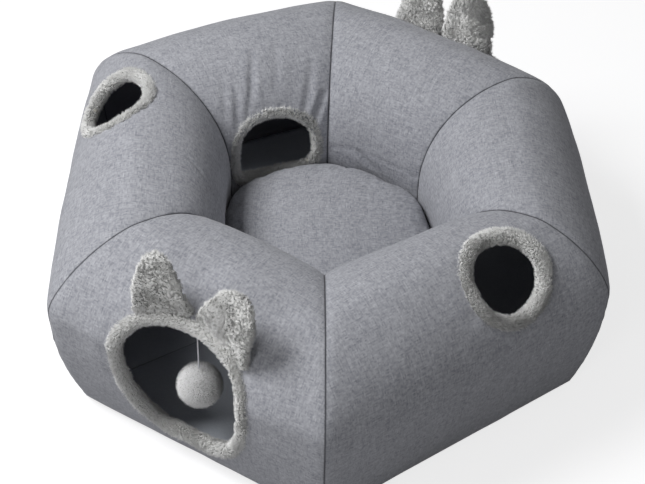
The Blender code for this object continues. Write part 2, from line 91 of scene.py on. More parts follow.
def full_turn(count: int) -> Array:
    """Angles spread evenly over a full turn, from 0."""
    return np.linspace(0, 2 * math.pi, count, endpoint=False)


def slow_noise(x: Array, y: Array, cell: float, seed: int, size: int = 64) -> Array:
    """Uneven values from -1 to 1 that change over one cell.

    Random numbers stand on a square lattice, and the smooth step blends the four round each place.

    Args:
        x, y: the places, in metres.
        cell: the lattice's spacing, in metres.
        seed: which lattice.
        size: how many cells it has each way before it repeats.

    Returns:
        One value for each place.
    """
    lattice = np.random.default_rng(seed).uniform(-1, 1, (size, size))
    gx, gy = np.broadcast_arrays(np.asarray(x) / cell, np.asarray(y) / cell)
    ix, iy = np.floor(gx).astype(int), np.floor(gy).astype(int)
    sx, sy = fade(gx - ix), fade(gy - iy)
    left, right, below, above = ix % size, (ix + 1) % size, iy % size, (iy + 1) % size
    low = lattice[left, below] * (1 - sx) + lattice[right, below] * sx
    high = lattice[left, above] * (1 - sx) + lattice[right, above] * sx
    return low * (1 - sy) + high * sy


# ---------------------------------------------------------------- meshes from arrays


@dataclass
class Shell:
    """Points and faces, with named values at each point and, where a cloth needs it, its flat place.

    Attributes:
        points: (n, 3) places in metres.
        faces: arrays of faces, each (m, 3) or (m, 4).
        values: for each name, one number for each point.
        flat: (n, 2) places on the cloth in metres, which become the UV map.
    """

    points: Array
    faces: list[Array]
    values: dict[str, Array] = field(default_factory=dict)
    flat: Array | None = None

    def flipped(self) -> "Shell":
        """Turns every face round."""
        self.faces = [faces[:, ::-1] for faces in self.faces]
        return self

    def outward(self) -> "Shell":
        """Turns every face of a closed shell round if its volume comes out negative."""
        volume = 0.0
        for faces in self.faces:
            corners = self.points[faces] - self.points.mean(axis=0)
            for k in range(1, faces.shape[1] - 1):
                volume += np.linalg.det(corners[:, [0, k, k + 1]]).sum()
        return self.flipped() if volume < 0 else self

    def toned(self, strand: float, tint: float) -> "Shell":
        """Gives every point one place in the pile's colours."""
        self.values = {"strand": np.full(len(self.points), strand), "tint": np.full(len(self.points), tint)}
        return self


def joined(shells: list[Shell]) -> Shell:
    """One shell that holds several. Values that one of them lacks are 0 there."""
    names = sorted({name for shell in shells for name in shell.values})
    starts = np.cumsum([0] + [len(shell.points) for shell in shells])
    faces = [part + start for shell, start in zip(shells, starts) for part in shell.faces]
    values = {
        name: np.concatenate([shell.values.get(name, np.zeros(len(shell.points))) for shell in shells])
        for name in names
    }
    return Shell(np.concatenate([shell.points for shell in shells]), faces, values)


def grid_faces(rows: int, columns: int, wrap_rows: bool = False, wrap_columns: bool = False) -> Array:
    """The quads of a grid of points, numbered row by row.

    Each quad runs from a point to the next column, up a row and back, so its normal is the direction of the
    columns crossed with that of the rows.
    """
    i = np.arange(rows if wrap_rows else rows - 1)[:, None]
    j = np.arange(columns if wrap_columns else columns - 1)[None, :]
    up, right = (i + 1) % rows, (j + 1) % columns
    corners = [i * columns + j, i * columns + right, up * columns + right, up * columns + j]
    return np.stack(np.broadcast_arrays(*corners), axis=-1).reshape(-1, 4)


def capped(rows: Array, first: Array, last: Array) -> Shell:
    """A closed shell from closed rows of points, with a fan from a pole at each end.

    Args:
        rows: (rows, columns, 3) points.
        first: the pole before the first row.
        last: the pole after the last row.

    Returns:
        The shell, with its faces outwards.
    """
    count, columns = rows.shape[:2]
    ring = np.arange(columns)
    following = np.roll(ring, -1)
    top = (count - 1) * columns
    first_pole, last_pole = (np.full(columns, count * columns + k) for k in (0, 1))
    faces = [
        grid_faces(count, columns, wrap_columns=True),
        np.stack([following, ring, first_pole], axis=-1),
        np.stack([top + ring, top + following, last_pole], axis=-1),
    ]
    return Shell(np.concatenate([rows.reshape(-1, 3), [first, last]]), faces).outward()


def used_only(shell: Shell) -> Shell:
    """The shell without the points that no face uses."""
    used = np.unique(np.concatenate([faces.ravel() for faces in shell.faces]))
    renumber = np.zeros(len(shell.points), int)
    renumber[used] = np.arange(len(used))
    return Shell(
        shell.points[used],
        [renumber[faces] for faces in shell.faces],
        {name: values[used] for name, values in shell.values.items()},
        None if shell.flat is None else shell.flat[used],
    )


def points_of(mesh: bpy.types.Mesh) -> Array:
    """The mesh's points as an array of (n, 3)."""
    points = np.empty(len(mesh.vertices) * 3, np.float32)
    mesh.vertices.foreach_get("co", points)
    return points.reshape(-1, 3).astype(float)


def add_object(name: str, data: bpy.types.ID) -> bpy.types.Object:
    """A new object at the origin, linked to the scene."""
    made = bpy.data.objects.new(name, data)
    bpy.context.scene.collection.objects.link(made)
    return made


def make_piece(name: str, shell: Shell, material: bpy.types.Material) -> bpy.types.Object:
    """A mesh object at the origin from a shell, smooth shaded.

    Args:
        name: the piece's name.
        shell: its points, faces and values.
        material: its finish.

    Returns:
        The new object, linked to the scene.
    """
    mesh = bpy.data.meshes.new(name)
    sizes = np.concatenate([np.full(len(faces), faces.shape[1]) for faces in shell.faces])
    corners = np.concatenate([faces.ravel() for faces in shell.faces]).astype(np.int32)
    mesh.vertices.add(len(shell.points))
    mesh.vertices.foreach_set("co", shell.points.astype(np.float32).ravel())
    mesh.loops.add(len(corners))
    mesh.loops.foreach_set("vertex_index", corners)
    mesh.polygons.add(len(sizes))
    mesh.polygons.foreach_set("loop_start", np.concatenate([[0], np.cumsum(sizes)[:-1]]).astype(np.int32))
    mesh.update(calc_edges=True)
    for value_name, values in shell.values.items():
        attribute = mesh.attributes.new(value_name, "FLOAT", "POINT")
        attribute.data.foreach_set("value", values.astype(np.float32))
    if shell.flat is not None:
        layer = mesh.uv_layers.new(name="cloth")
        layer.data.foreach_set("uv", shell.flat[corners].astype(np.float32).ravel())
    mesh.shade_smooth()
    mesh.materials.append(material)
    return add_object(name, mesh)


def thicken(piece: bpy.types.Object, thickness: float) -> None:
    """Gives a sheet its thickness, behind the side that its faces point to."""
    modifier = piece.modifiers.new("thickness", "SOLIDIFY")
    modifier.thickness = thickness
    modifier.offset = -1.0
    modifier.use_rim = True


def install(piece: bpy.types.Object, body: str, slot: str, *nodes: str) -> bpy.types.Object:
    """Ties a finished piece to its CAD body and hides the nodes that it stands for."""
    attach(piece, body)
    if nodes:
        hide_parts(*nodes)
    LOG.info("%s on %s: %d points", piece.name, body, len(getattr(piece.data, "vertices", ())))
    return piece


# ---------------------------------------------------------------- the ring's form


@dataclass(frozen=True)
class RingForm:
    """The tunnel's form: its cross-section, and how each corner seam turns and stretches it.

    Attributes:
        outer_apothem: the middle of the ring to a side's outermost line.
        crest_apothem: the same to its highest line.
        well_apothem: the same to the line where the well is narrowest.
        base_apothem: the same to the outer bottom edge.
        well_base_apothem: the same to the well's bottom edge.
        height: the crest above the floor.
        widest_height: the outermost line above the floor.
        neck_height: the well's narrowest line above the floor.
        shoulder_power: how square the section is from the outermost line to the crest.
        brow_power: how square it is from the crest into the well.
        crown: how far a side swells at its middle.
        tube_floor: where the padded tube stands on the bottom cloth.
        corner_turns_deg: how far each corner seam is turned from an even hexagon's.
        corner_outer_shares: how much farther out each seam's outside lies.
        corner_well_shares: how much farther out each seam's well side lies.
        corner_neck_shares: how much farther out again its lower part lies, where the cushion presses on it.
        neck_power: how soon that fades outwards over the section.
        neck_bow: how far the cushion bows the middle of each side out, at the foot of the well.
        samples: points on each of the section's four arcs.
    """

    outer_apothem: float = 0.390
    crest_apothem: float = 0.281
    well_apothem: float = 0.142
    base_apothem: float = 0.358
    well_base_apothem: float = 0.152
    height: float = 0.300
    widest_height: float = 0.200
    neck_height: float = 0.150
    shoulder_power: float = 1.58
    brow_power: float = 2.24
    crown: float = 0.009
    tube_floor: float = 0.0033
    corner_turns_deg: tuple[float, ...] = (0.8, 5.3, 1.2, -2.5, -7.7, 1.9)
    corner_outer_shares: tuple[float, ...] = (0.029, -0.019, -0.043, -0.009, 0.013, -0.016)
    corner_well_shares: tuple[float, ...] = (0.026, -0.016, 0.014, -0.005, 0.079, -0.135)
    corner_neck_shares: tuple[float, ...] = (0.0, 0.22, 0.02, -0.03, 0.0, 0.13)
    neck_power: float = 4.0
    neck_bow: float = 0.030
    samples: int = 60

    def foot_arc(self, widest_u: float, widest_z: float, foot_u: float) -> Array:
        """An arc of a circle from the floor up to (widest_u, widest_z), upright at its top.

        Its sweep is twice the angle whose tangent is reach over rise.
        """
        rise, reach = widest_z - self.tube_floor, widest_u - foot_u
        sweep = 2 * math.atan(abs(reach) / rise)
        radius = rise / math.sin(sweep)
        turn = np.linspace(-sweep, 0.0, self.samples)
        side = math.copysign(1.0, reach)
        u = widest_u - side * radius * (1 - np.cos(turn))
        z = widest_z + radius * np.sin(turn)
        return np.array([u, z, side * np.cos(turn), np.sin(turn)])

    def brow_arc(self, widest_u: float, widest_z: float, power: float) -> Array:
        """A quarter of a superellipse, (u / reach)^power + (z / rise)^power = 1, up to the crest."""
        reach, rise = widest_u - self.crest_apothem, self.height - widest_z
        turn = np.linspace(0.0, math.pi / 2, self.samples)
        across = np.cos(turn) ** (2 / power)
        up = np.clip(np.sin(turn), 0, 1) ** (2 / power)
        normal = unit(np.stack([across ** (power - 1) / reach, up ** (power - 1) / rise], axis=-1)).T
        return np.array([self.crest_apothem + reach * across, widest_z + rise * up, *normal])

    @cached_property
    def section(self) -> Array:
        """The cover's outside, from the outer bottom edge over the crest to the well's bottom edge.

        Rows are u, z and the outward normal's two parts.
        """
        outer_foot = self.foot_arc(self.outer_apothem, self.widest_height, self.base_apothem)
        shoulder = self.brow_arc(self.outer_apothem, self.widest_height, self.shoulder_power)
        brow = self.brow_arc(self.well_apothem, self.neck_height, self.brow_power)
        well_foot = self.foot_arc(self.well_apothem, self.neck_height, self.well_base_apothem)
        parts = [outer_foot, shoulder[:, 1:], brow[:, ::-1][:, 1:], well_foot[:, ::-1][:, 1:]]
        return np.concatenate(parts, axis=1)

    @cached_property
    def travelled(self) -> Array:
        """w at each sample of the section."""
        steps = np.hypot(*np.diff(self.section[:2], axis=1))
        return np.concatenate([[0.0], np.cumsum(steps)])

    @property
    def length(self) -> float:
        """The section's whole length."""
        return float(self.travelled[-1])

    @property
    def crest_at(self) -> float:
        """w at the crest."""
        return float(self.travelled[2 * self.samples - 2])

    @property
    def neck_at(self) -> float:
        """w at the well's narrowest line."""
        return float(self.travelled[3 * self.samples - 3])

    def corner_place(self, corner: int, u: Array, z: Array) -> Array:
        """The section's point (u, z), turned and stretched to a corner seam."""
        index = corner % SIDES
        half_step = math.pi / SIDES
        direction = 2 * half_step * index - math.pi / 2 + math.radians(self.corner_turns_deg[index])
        outward = (u - self.well_apothem) / (self.outer_apothem - self.well_apothem)
        stretch = self.corner_well_shares[index] * (1 - outward) + self.corner_outer_shares[index] * outward
        stretch += self.corner_neck_shares[index] * (1 - outward) ** self.neck_power
        reach = u / math.cos(half_step) * (1 + stretch)
        return np.stack([reach * math.cos(direction), reach * math.sin(direction), z], axis=-1)

    def panel_section(self, w: Array, depth: Array, along: Array) -> tuple[Array, Array]:
        """(u, z) at w, this far under the cloth.

        Towards the side's middle, by 1 - (2 along - 1)^2, the swell crown sin(pi w / length) is added and the
        cushion's bow, neck_bow down^1.5 with down from 0 at the crest to 1 at the well's foot, is taken off.
        """
        u, z, nu, nz = (np.interp(w, self.travelled, values) for values in self.section)
        down = np.clip((w - self.crest_at) / (self.length - self.crest_at), 0, 1)
        swell = self.crown * np.sin(math.pi * w / self.length) - self.neck_bow * down**1.5
        swell = swell * (1 - (2 * along - 1) ** 2)
        return u + nu * (swell - depth), z + nz * (swell - depth)

    def raw_place(self, side: int, along: Array, w: Array, depth: Array) -> Array:
        """A side's point before the ring is centred: ruled from one corner seam to the next."""
        along, w, depth = np.broadcast_arrays(
            np.asarray(along, float), np.asarray(w, float), np.asarray(depth, float)
        )
        u, z = self.panel_section(w, depth, along)
        share = along[..., None]
        return (1 - share) * self.corner_place(side, u, z) + share * self.corner_place(side + 1, u, z)

    @cached_property
    def middle(self) -> Array:
        """The middle of the ring's own box in plan, which is the frame's origin."""
        widest = self.travelled[np.argmax(self.section[0])]
        along = np.linspace(0, 1, 5)
        points = np.concatenate([self.raw_place(side, along, widest, 0.0) for side in range(SIDES)])
        return (points.max(axis=0) + points.min(axis=0)) / 2 * (1, 1, 0)

    def place_along(self, side: int, along: Array, w: Array, depth: Array) -> Array:
        """A side's point, where along is 0 at its first corner seam and 1 at its second."""
        return self.raw_place(side, along, w, depth) - self.middle

    def side_length(self, side: int, w: Array) -> Array:
        """The side's length between its corner seams at w."""
        ends = [self.raw_place(side, share, w, 0.0) for share in (0.0, 1.0)]
        return np.linalg.norm(ends[1] - ends[0], axis=-1)

    def place(self, side: int, x: Array, w: Array, depth: Array) -> Array:
        """A side's point at (x, w), this far under the cloth."""
        x, w = np.asarray(x, float), np.asarray(w, float)
        return self.place_along(side, 0.5 + x / self.side_length(side, w), w, depth)

    def height_at(self, w: Array) -> Array:
        """How high the bare section is at w."""
        return np.interp(w, self.travelled, self.section[1])

    def reach_of_height(self, low: float) -> tuple[float, float]:
        """The first and last w at which the section stands at least this high."""
        dense = np.linspace(0, self.length, 4000)
        above = dense[self.height_at(dense) >= low]
        return float(above[0]), float(above[-1])


# ---------------------------------------------------------------- openings


@dataclass(frozen=True)
class Opening:
    """A bound opening in one side: a superellipse arch above its widest line, and a squarer foot below.

    Attributes:
        name: the opening's name, as its roll's node has it.
        side_name: the side it is cut in.
        x, w: the middle of its widest line.
        up: 1 where w rises up the opening, -1 on the well's wall, where it falls.
        half_width: half of the widest line.
        arch_height: the arch above it.
        foot_height: the foot below it.
        foot_share: how far the foot draws in at its bottom.
        arch_power, foot_power: how square the two are; 2 and 2 with equal sizes is a circle.
        roll_radius: the plush roll's outside radius.
    """

    name: str
    side_name: str
    x: float
    w: float
    up: int
    half_width: float
    arch_height: float
    foot_height: float
    foot_share: float
    arch_power: float
    foot_power: float
    roll_radius: float

    @property
    def side(self) -> int:
        """The side's number."""
        return SIDE_NAMES.index(self.side_name)

    def form(self, arch: Array, grow: float) -> tuple[Array, Array]:
        """The superellipse's power and height where the arch is, and where the foot is."""
        power = np.where(arch, self.arch_power, self.foot_power)
        return power, np.where(arch, self.arch_height, self.foot_height) + grow

    def narrowed(self, rise: Array, height: Array) -> Array:
        """The share of its width that the outline keeps: the foot loses foot_share * depth^1.5."""
        return 1 - self.foot_share * np.clip(-rise / height, 0, 1) ** 1.5

    def outline(self, angles: Array, grow: float) -> tuple[Array, Array]:
        """The outline's (x, rise) from its widest line's middle, moved outwards by grow.

        x = a |cos|^(2/p) and rise = b |sin|^(2/p), with the foot's x narrowed.
        """
        across, up = np.cos(angles), np.sin(angles)
        power, height = self.form(up >= 0, grow)
        x = (self.half_width + grow) * np.sign(across) * np.abs(across) ** (2 / power)
        rise = height * np.sign(up) * np.abs(up) ** (2 / power)
        return x * self.narrowed(rise, height), rise

    def line(self, ring: RingForm, angles: Array, grow: float, depth: float) -> Array:
        """Points on the wall along the outline, moved outwards by grow and this far under the cloth."""
        x, rise = self.outline(angles, grow)
        return ring.place(self.side, self.x + self.up * x, self.w + self.up * rise, depth)

    def from_edge(self, x: Array, w: Array) -> tuple[Array, Array]:
        """How far each place lies outside the outline, less than 0 inside it, and its angle round the middle.

        The distance is to the nearest of 180 points on the outline. A place is inside where its own angle's
        reach is less than the outline's.
        """
        edge_x, edge_rise = self.outline(full_turn(180), 0.0)
        local_x, rise = self.up * (x - self.x), self.up * (w - self.w)
        gap = np.hypot(local_x[..., None] - edge_x, rise[..., None] - edge_rise).min(axis=-1)
        power, height = self.form(rise >= 0, 0.0)
        reach = np.abs(local_x) / (self.half_width * self.narrowed(rise, height))
        inside = reach**power + np.abs(rise / height) ** power < 1
        return np.where(inside, -gap, gap), np.arctan2(rise, local_x)


def make_openings(ring: RingForm) -> dict[str, Opening]:
    """The two doors, the door into the well and the two peepholes, by name."""
    # Each kind's up, half_width, arch_height, foot_height, foot_share, arch_power, foot_power, roll_radius
    door = (1, 0.1045, 0.083, 0.141, 0.22, 2.2, 3.4, 0.0125)
    well_door = (-1, 0.062, 0.064, 0.053, 0.0, 2.2, 3.4, 0.008)
    peephole = (1, 0.060, 0.060, 0.060, 0.0, 2.0, 2.0, 0.0105)
    door_at = 0.190
    found = (
        Opening("front_door", "front_left", -0.006, door_at, *door),
        Opening("rear_door", "back_right", -0.006, door_at, *door),
        Opening("inner_door", "back_left", 0.003, ring.crest_at + 0.205, *well_door),
        Opening("left_peephole", "left", -0.094, ring.crest_at - 0.051, *peephole),
        Opening("right_peephole", "front_right", 0.086, ring.crest_at - 0.060, *peephole),
    )
    return {opening.name: opening for opening in found}


# ---------------------------------------------------------------- finishes


def srgb(colour: str) -> tuple[float, float, float, float]:
    """A linear colour from sRGB hex: c / 12.92 below 0.04045, and ((c + 0.055) / 1.055)^2.4 above."""
    parts = [int(colour[i : i + 2], 16) / 255 for i in (1, 3, 5)]
    linear = [c / 12.92 if c <= 0.04045 else ((c + 0.055) / 1.055) ** 2.4 for c in parts]
    return (*linear, 1.0)


def set_inputs(node: bpy.types.Node, inputs: dict) -> None:
    """Gives each named or numbered input of a node a value or a link."""
    for key, value in inputs.items():
        if isinstance(value, bpy.types.NodeSocket):
            node.id_data.links.new(value, node.inputs[key])
        else:
            node.inputs[key].default_value = value


def add_node(tree: bpy.types.NodeTree, kind: str, inputs: dict | None = None, **settings) -> bpy.types.Node:
    """Adds a node with its settings, and gives each named or numbered input a value or a link.

    Args:
        tree: the material's or world's nodes.
        kind: the node's type name.
        inputs: for each input, a value or another node's output.
        settings: the node's own properties.

    Returns:
        The new node.
    """
    node = tree.nodes.new(kind)
    for key, value in settings.items():
        setattr(node, key, value)
    set_inputs(node, inputs or {})
    return node


class Pattern(Enum):
    """Where a cloth's pattern lies."""

    FLAT_CLOTH = "its UV map, in metres on the cut cloth"
    SOLID = "the object's own coordinates, in metres"


def blank_material(name: str) -> tuple[bpy.types.Material, bpy.types.NodeTree, bpy.types.Node]:
    """A material with only a Principled shader, as (material, its nodes, the shader)."""
    made = bpy.data.materials.new(name)
    made.use_nodes = True
    tree = made.node_tree
    return made, tree, tree.nodes["Principled BSDF"]


@dataclass(frozen=True)
class WovenCloth:
    """A cloth of short light and dark threads that cross, with its seams drawn darker.

    Attributes:
        name: the material's name.
        dark, light: the darkest and the palest mix of threads.
        seam: the colour in a seam's line.
        thread_length, thread_width: one dash of colour, in metres.
        contrast: how far the dashes spread the colour.
        roughness, sheen: of the shader.
        bump: how high the threads stand, in metres.
        pattern: where the pattern lies.
        dye_share: how much the dye's slow change counts beside the threads.
        dye_scale: of that change, in cells to a metre.
        slub_length: a slub, in dashes.
        slub_share: how much the slubs count beside the dashes.
        strip_step: how far apart in the noise two threads lie, so that they differ.
    """

    name: str
    dark: str
    light: str
    seam: str
    thread_length: float
    thread_width: float
    contrast: float
    roughness: float
    sheen: float
    bump: float
    pattern: Pattern
    dye_share: float = 0.1
    dye_scale: float = 30.0
    slub_length: float = 9.0
    slub_share: float = 0.25
    strip_step: float = 7.31

    def thread_place(self, tree: bpy.types.NodeTree) -> tuple[Socket, Socket]:
        """The two ways across the cloth, in metres. On a solid pattern height is mixed into both."""
        if self.pattern is Pattern.FLAT_CLOTH:
            place = add_node(tree, "ShaderNodeUVMap", uv_map="cloth").outputs["UV"]
            apart = add_node(tree, "ShaderNodeSeparateXYZ", {0: place})
            return apart.outputs["X"], apart.outputs["Y"]
        place = add_node(tree, "ShaderNodeTexCoord").outputs["Object"]
        apart = add_node(tree, "ShaderNodeSeparateXYZ", {0: place}).outputs
        ways = []
        for axis, share in (("X", 0.6), ("Y", 0.8)):
            parts = {0: apart["Z"], 1: share, 2: apart[axis]}
            ways.append(add_node(tree, "ShaderNodeMath", parts, operation="MULTIPLY_ADD").outputs[0])
        return ways[0], ways[1]

    def yarn(self, tree: bpy.types.NodeTree, way: Socket, other: Socket, seed: float) -> Socket:
        """The colour along one set of threads: short dashes, and long slubs at a third of their strength.

        Args:
            tree: the material's nodes.
            way: the place across the threads.
            other: the place along them.
            seed: which noise.

        Returns:
            The colour's share, about 0 to 1.
        """
        number = way
        steps = {"DIVIDE": self.thread_width, "FLOOR": 0.0, "MULTIPLY": self.strip_step}
        for operation, value in steps.items():
            number = add_node(tree, "ShaderNodeMath", {0: number, 1: value}, operation=operation).outputs[0]
        dashes = []
        for length in (self.thread_length, self.slub_length * self.thread_length):
            dash = add_node(tree, "ShaderNodeMath", {0: other, 1: length}, operation="DIVIDE").outputs[0]
            spot = add_node(tree, "ShaderNodeCombineXYZ", {0: dash, 1: number, 2: seed + len(dashes)})
            noise = {"Vector": spot.outputs[0], "Scale": 1.0, "Detail": 1.0, "Roughness": 0.5}
            dashes.append(add_node(tree, "ShaderNodeTexNoise", noise).outputs["Fac"])
        parts = {"Factor": self.slub_share, 2: dashes[0], 3: dashes[1]}
        return add_node(tree, "ShaderNodeMix", parts, data_type="FLOAT").outputs[0]

    def make(self) -> bpy.types.Material:
        """The material: two sets of threads that cross, each changing colour along itself, and a slow dye."""
        material, tree, shader = blank_material(self.name)
        across, along = self.thread_place(tree)
        weft, warp = self.yarn(tree, along, across, 0.0), self.yarn(tree, across, along, 37.0)
        parts = {"Factor": 0.5, 2: weft, 3: warp}
        crossed = add_node(tree, "ShaderNodeMix", parts, data_type="FLOAT").outputs[0]
        flat_place = add_node(tree, "ShaderNodeCombineXYZ", {0: across, 1: along}).outputs[0]
        noise = {"Vector": flat_place, "Scale": self.dye_scale, "Detail": 2.0}
        parts = {0: add_node(tree, "ShaderNodeTexNoise", noise).outputs["Fac"], 1: self.dye_share, 2: crossed}
        dyed = add_node(tree, "ShaderNodeMath", parts, operation="MULTIPLY_ADD").outputs[0]
        low, high = (0.5 + self.dye_share / 2 + half / self.contrast for half in (-0.5, 0.5))
        parts = {"Value": dyed, "From Min": low, "From Max": high}
        colour = add_node(tree, "ShaderNodeMapRange", parts).outputs["Result"]
        parts = {"Factor": colour, 6: srgb(self.dark), 7: srgb(self.light)}
        cloth = add_node(tree, "ShaderNodeMix", parts, data_type="RGBA").outputs[2]
        seam = add_node(tree, "ShaderNodeAttribute", attribute_name="seam").outputs["Fac"]
        parts = {"Factor": seam, 6: cloth, 7: srgb(self.seam)}
        sewn = add_node(tree, "ShaderNodeMix", parts, data_type="RGBA").outputs[2]
        parts = {"Height": crossed, "Strength": 1.0, "Distance": self.bump}
        finish = {
            "Base Color": sewn,
            "Normal": add_node(tree, "ShaderNodeBump", parts).outputs["Normal"],
            "Roughness": self.roughness,
            "Specular IOR Level": 0.25,
            "Sheen Weight": self.sheen,
            "Sheen Roughness": 0.6,
        }
        set_inputs(shader, finish)
        return material


@dataclass(frozen=True)
class PileFibre:
    """A pile of fibres that change colour from root to tip, each tuft with its own tint.

    Attributes:
        name: the material's name.
        root, tip: the colours at a fibre's foot and end; where the root is darker, it also paints the shade
            deep in the pile.
        shade: the colour that a tuft's tint mixes in.
        tint_share: how much of it the most tinted tuft takes.
        sheen: of the shader.
        soak: how much light goes through the fibres.
        soak_depth: how far it goes.
    """

    name: str
    root: str
    tip: str
    shade: str
    tint_share: float
    sheen: float
    soak: float
    soak_depth: float = 3.0 * MM

    def make(self) -> bpy.types.Material:
        """The material, from the mesh's strand (0 at the root, 1 at the tip) and tint values."""
        material, tree, shader = blank_material(self.name)
        strand = add_node(tree, "ShaderNodeAttribute", attribute_name="strand").outputs["Fac"]
        tint = add_node(tree, "ShaderNodeAttribute", attribute_name="tint").outputs["Fac"]
        parts = {"Factor": strand, 6: srgb(self.root), 7: srgb(self.tip)}
        fibre = add_node(tree, "ShaderNodeMix", parts, data_type="RGBA").outputs[2]
        parts = {0: tint, 1: self.tint_share}
        share = add_node(tree, "ShaderNodeMath", parts, operation="MULTIPLY").outputs[0]
        parts = {"Factor": share, 6: fibre, 7: srgb(self.shade)}
        finish = {
            "Base Color": add_node(tree, "ShaderNodeMix", parts, data_type="RGBA").outputs[2],
            "Roughness": 0.75,
            "Specular IOR Level": 0.2,
            "Sheen Weight": self.sheen,
            "Sheen Roughness": 0.5,
            "Subsurface Weight": self.soak,
            "Subsurface Radius": (1.0, 1.0, 1.0),
            "Subsurface Scale": self.soak_depth,
        }
        set_inputs(shader, finish)
        return material


# Polyester linen-look cloth, plain woven from mixed pale and dark yarn: short crossing dashes and no gloss.
# The real threads are 0.5 mm, too fine to show, so they are drawn 1.8 mm wide with dashes of 7 mm.
LINEN = WovenCloth(
    name="linen_look_polyester_woven",
    dark="#7c7e86",
    light="#bcbdc3",
    seam="#33343a",
    thread_length=7.0 * MM,
    thread_width=1.8 * MM,
    contrast=2.6,
    roughness=0.9,
    sheen=0.1,
    bump=0.5 * MM,
    pattern=Pattern.FLAT_CLOTH,
)
CUSHION_LINEN = replace(LINEN, name="linen_look_polyester_cushion", pattern=Pattern.SOLID)
# Oxford polyester, plain woven and matt: dark grey with a faint thread, nearly black in the tunnel's shade.
LINING = WovenCloth(
    name="oxford_polyester_dark",
    dark="#66666f",
    light="#80808a",
    seam="#4a4a52",
    thread_length=6.0 * MM,
    thread_width=2.0 * MM,
    contrast=1.3,
    roughness=0.85,
    sheen=0.05,
    bump=0.25 * MM,
    pattern=Pattern.FLAT_CLOTH,
)
# The same cloth where it lies flat as the tunnel's floor, in pale slate: a lit copy of the lining, whose paler
# colour is painted light for the light that falls in through the doors.
LINING_PAINTED_LIT_FLOOR = replace(
    LINING, name="oxford_polyester_painted_lit_floor", dark="#c6cdd8", light="#e4e9f0", seam="#9ea4ad"
)
# Grey non-slip Oxford cloth under the tunnel, with a coarser thread.
BOTTOM = WovenCloth(
    name="oxford_polyester_bottom",
    dark="#35373c",
    light="#4a4c52",
    seam="#202125",
    thread_length=7.0 * MM,
    thread_width=2.4 * MM,
    contrast=1.4,
    roughness=0.8,
    sheen=0.05,
    bump=0.3 * MM,
    pattern=Pattern.SOLID,
)
# Open-cell polyurethane foam, off-white and dull, hidden between the cover and the lining.
PADDING = WovenCloth(
    name="polyurethane_foam_sheet",
    dark="#c4c0b4",
    light="#d6d3c8",
    seam="#9c988c",
    thread_length=3.0 * MM,
    thread_width=3.0 * MM,
    contrast=1.2,
    roughness=0.95,
    sheen=0.0,
    bump=0.4 * MM,
    pattern=Pattern.SOLID,
)
# Loose polyester fibre, white and matt, hidden inside the cushion's cover.
FILLING = replace(
    PADDING,
    name="polyester_fibre_filling",
    dark="#dcdcda",
    light="#f2f2f0",
    thread_length=9.0 * MM,
    sheen=0.3,
)
# Woven nylon tape, black with a slight gloss.
ZIP_TAPE = replace(
    BOTTOM,
    name="nylon_zip_tape_woven",
    dark="#17171a",
    light="#2a2a2e",
    thread_width=1.0 * MM,
    roughness=0.55,
)
# Faux rabbit fur, a knitted acrylic pile: nearly white tips over greyer roots, so it looks soft and mottled.
# The greyer roots are partly the pile's own colour and partly painted shade deep in the pile.
PLUSH = PileFibre(
    name="faux_rabbit_fur_pile",
    root="#bcbcb9",
    tip="#f6f6f4",
    shade="#cbcbc8",
    tint_share=0.6,
    sheen=1.0,
    soak=0.6,
)
# The pom-pom's clipped acrylic wool: white throughout, with little shade between the fibres.
POMPOM = PileFibre(
    name="acrylic_pompom_wool",
    root="#ffffff",
    tip="#ffffff",
    shade="#fafafc",
    tint_share=0.5,
    sheen=1.0,
    soak=0.0,
)


# ---------------------------------------------------------------- cloth pieces


@dataclass(frozen=True)
class Crease:
    """A fold in a cover panel: a valley with a low ridge on both sides.

    Attributes:
        side_name: the panel.
        start, end: its two ends as (x, w).
        depth: how deep the valley is.
        width: half of its width.
        ridge: the ridges' height as a share of the depth.
        ridge_at: how far from the valley they lie, in widths.
    """

    side_name: str
    start: tuple[float, float]
    end: tuple[float, float]
    depth: float
    width: float
    ridge: float
    ridge_at: float = 1.9

    def relief(self, x: Array, w: Array) -> Array:
        """How far the crease lifts the cloth at each place, less than 0 in the valley.

        A bell across the line from start to end, times the square root of sin(pi s) along it.
        """
        (x0, w0), (x1, w1) = self.start, self.end
        run = math.hypot(x1 - x0, w1 - w0)
        along = ((x - x0) * (x1 - x0) + (w - w0) * (w1 - w0)) / run**2
        across = ((x - x0) * (w1 - w0) - (w - w0) * (x1 - x0)) / run
        ends = np.sqrt(np.sin(math.pi * np.clip(along, 0, 1)))
        valley = bell(across, self.width)
        ridge = sum(bell(across + step * self.width, self.width) for step in (-self.ridge_at, self.ridge_at))
        return self.depth * ends * (self.ridge * ridge / 2 - valley)


def seam_spaced(length: float, coarse: float, fine: float, growth: float = 1.25) -> Array:
    """Places from 0 to 1 along a side, close together at its two seams.

    The step grows from fine at a seam, by the same factor at each place, until it is coarse.
    """
    steps = [fine]
    while steps[-1] < coarse:
        steps.append(steps[-1] * growth)
    edge = np.concatenate([[0.0], np.cumsum(steps)])
    inner = np.linspace(edge[-1], length - edge[-1], max(2, round((length - 2 * edge[-1]) / coarse)))
    return np.concatenate([edge[:-1], inner, length - edge[:-1][::-1]]) / length


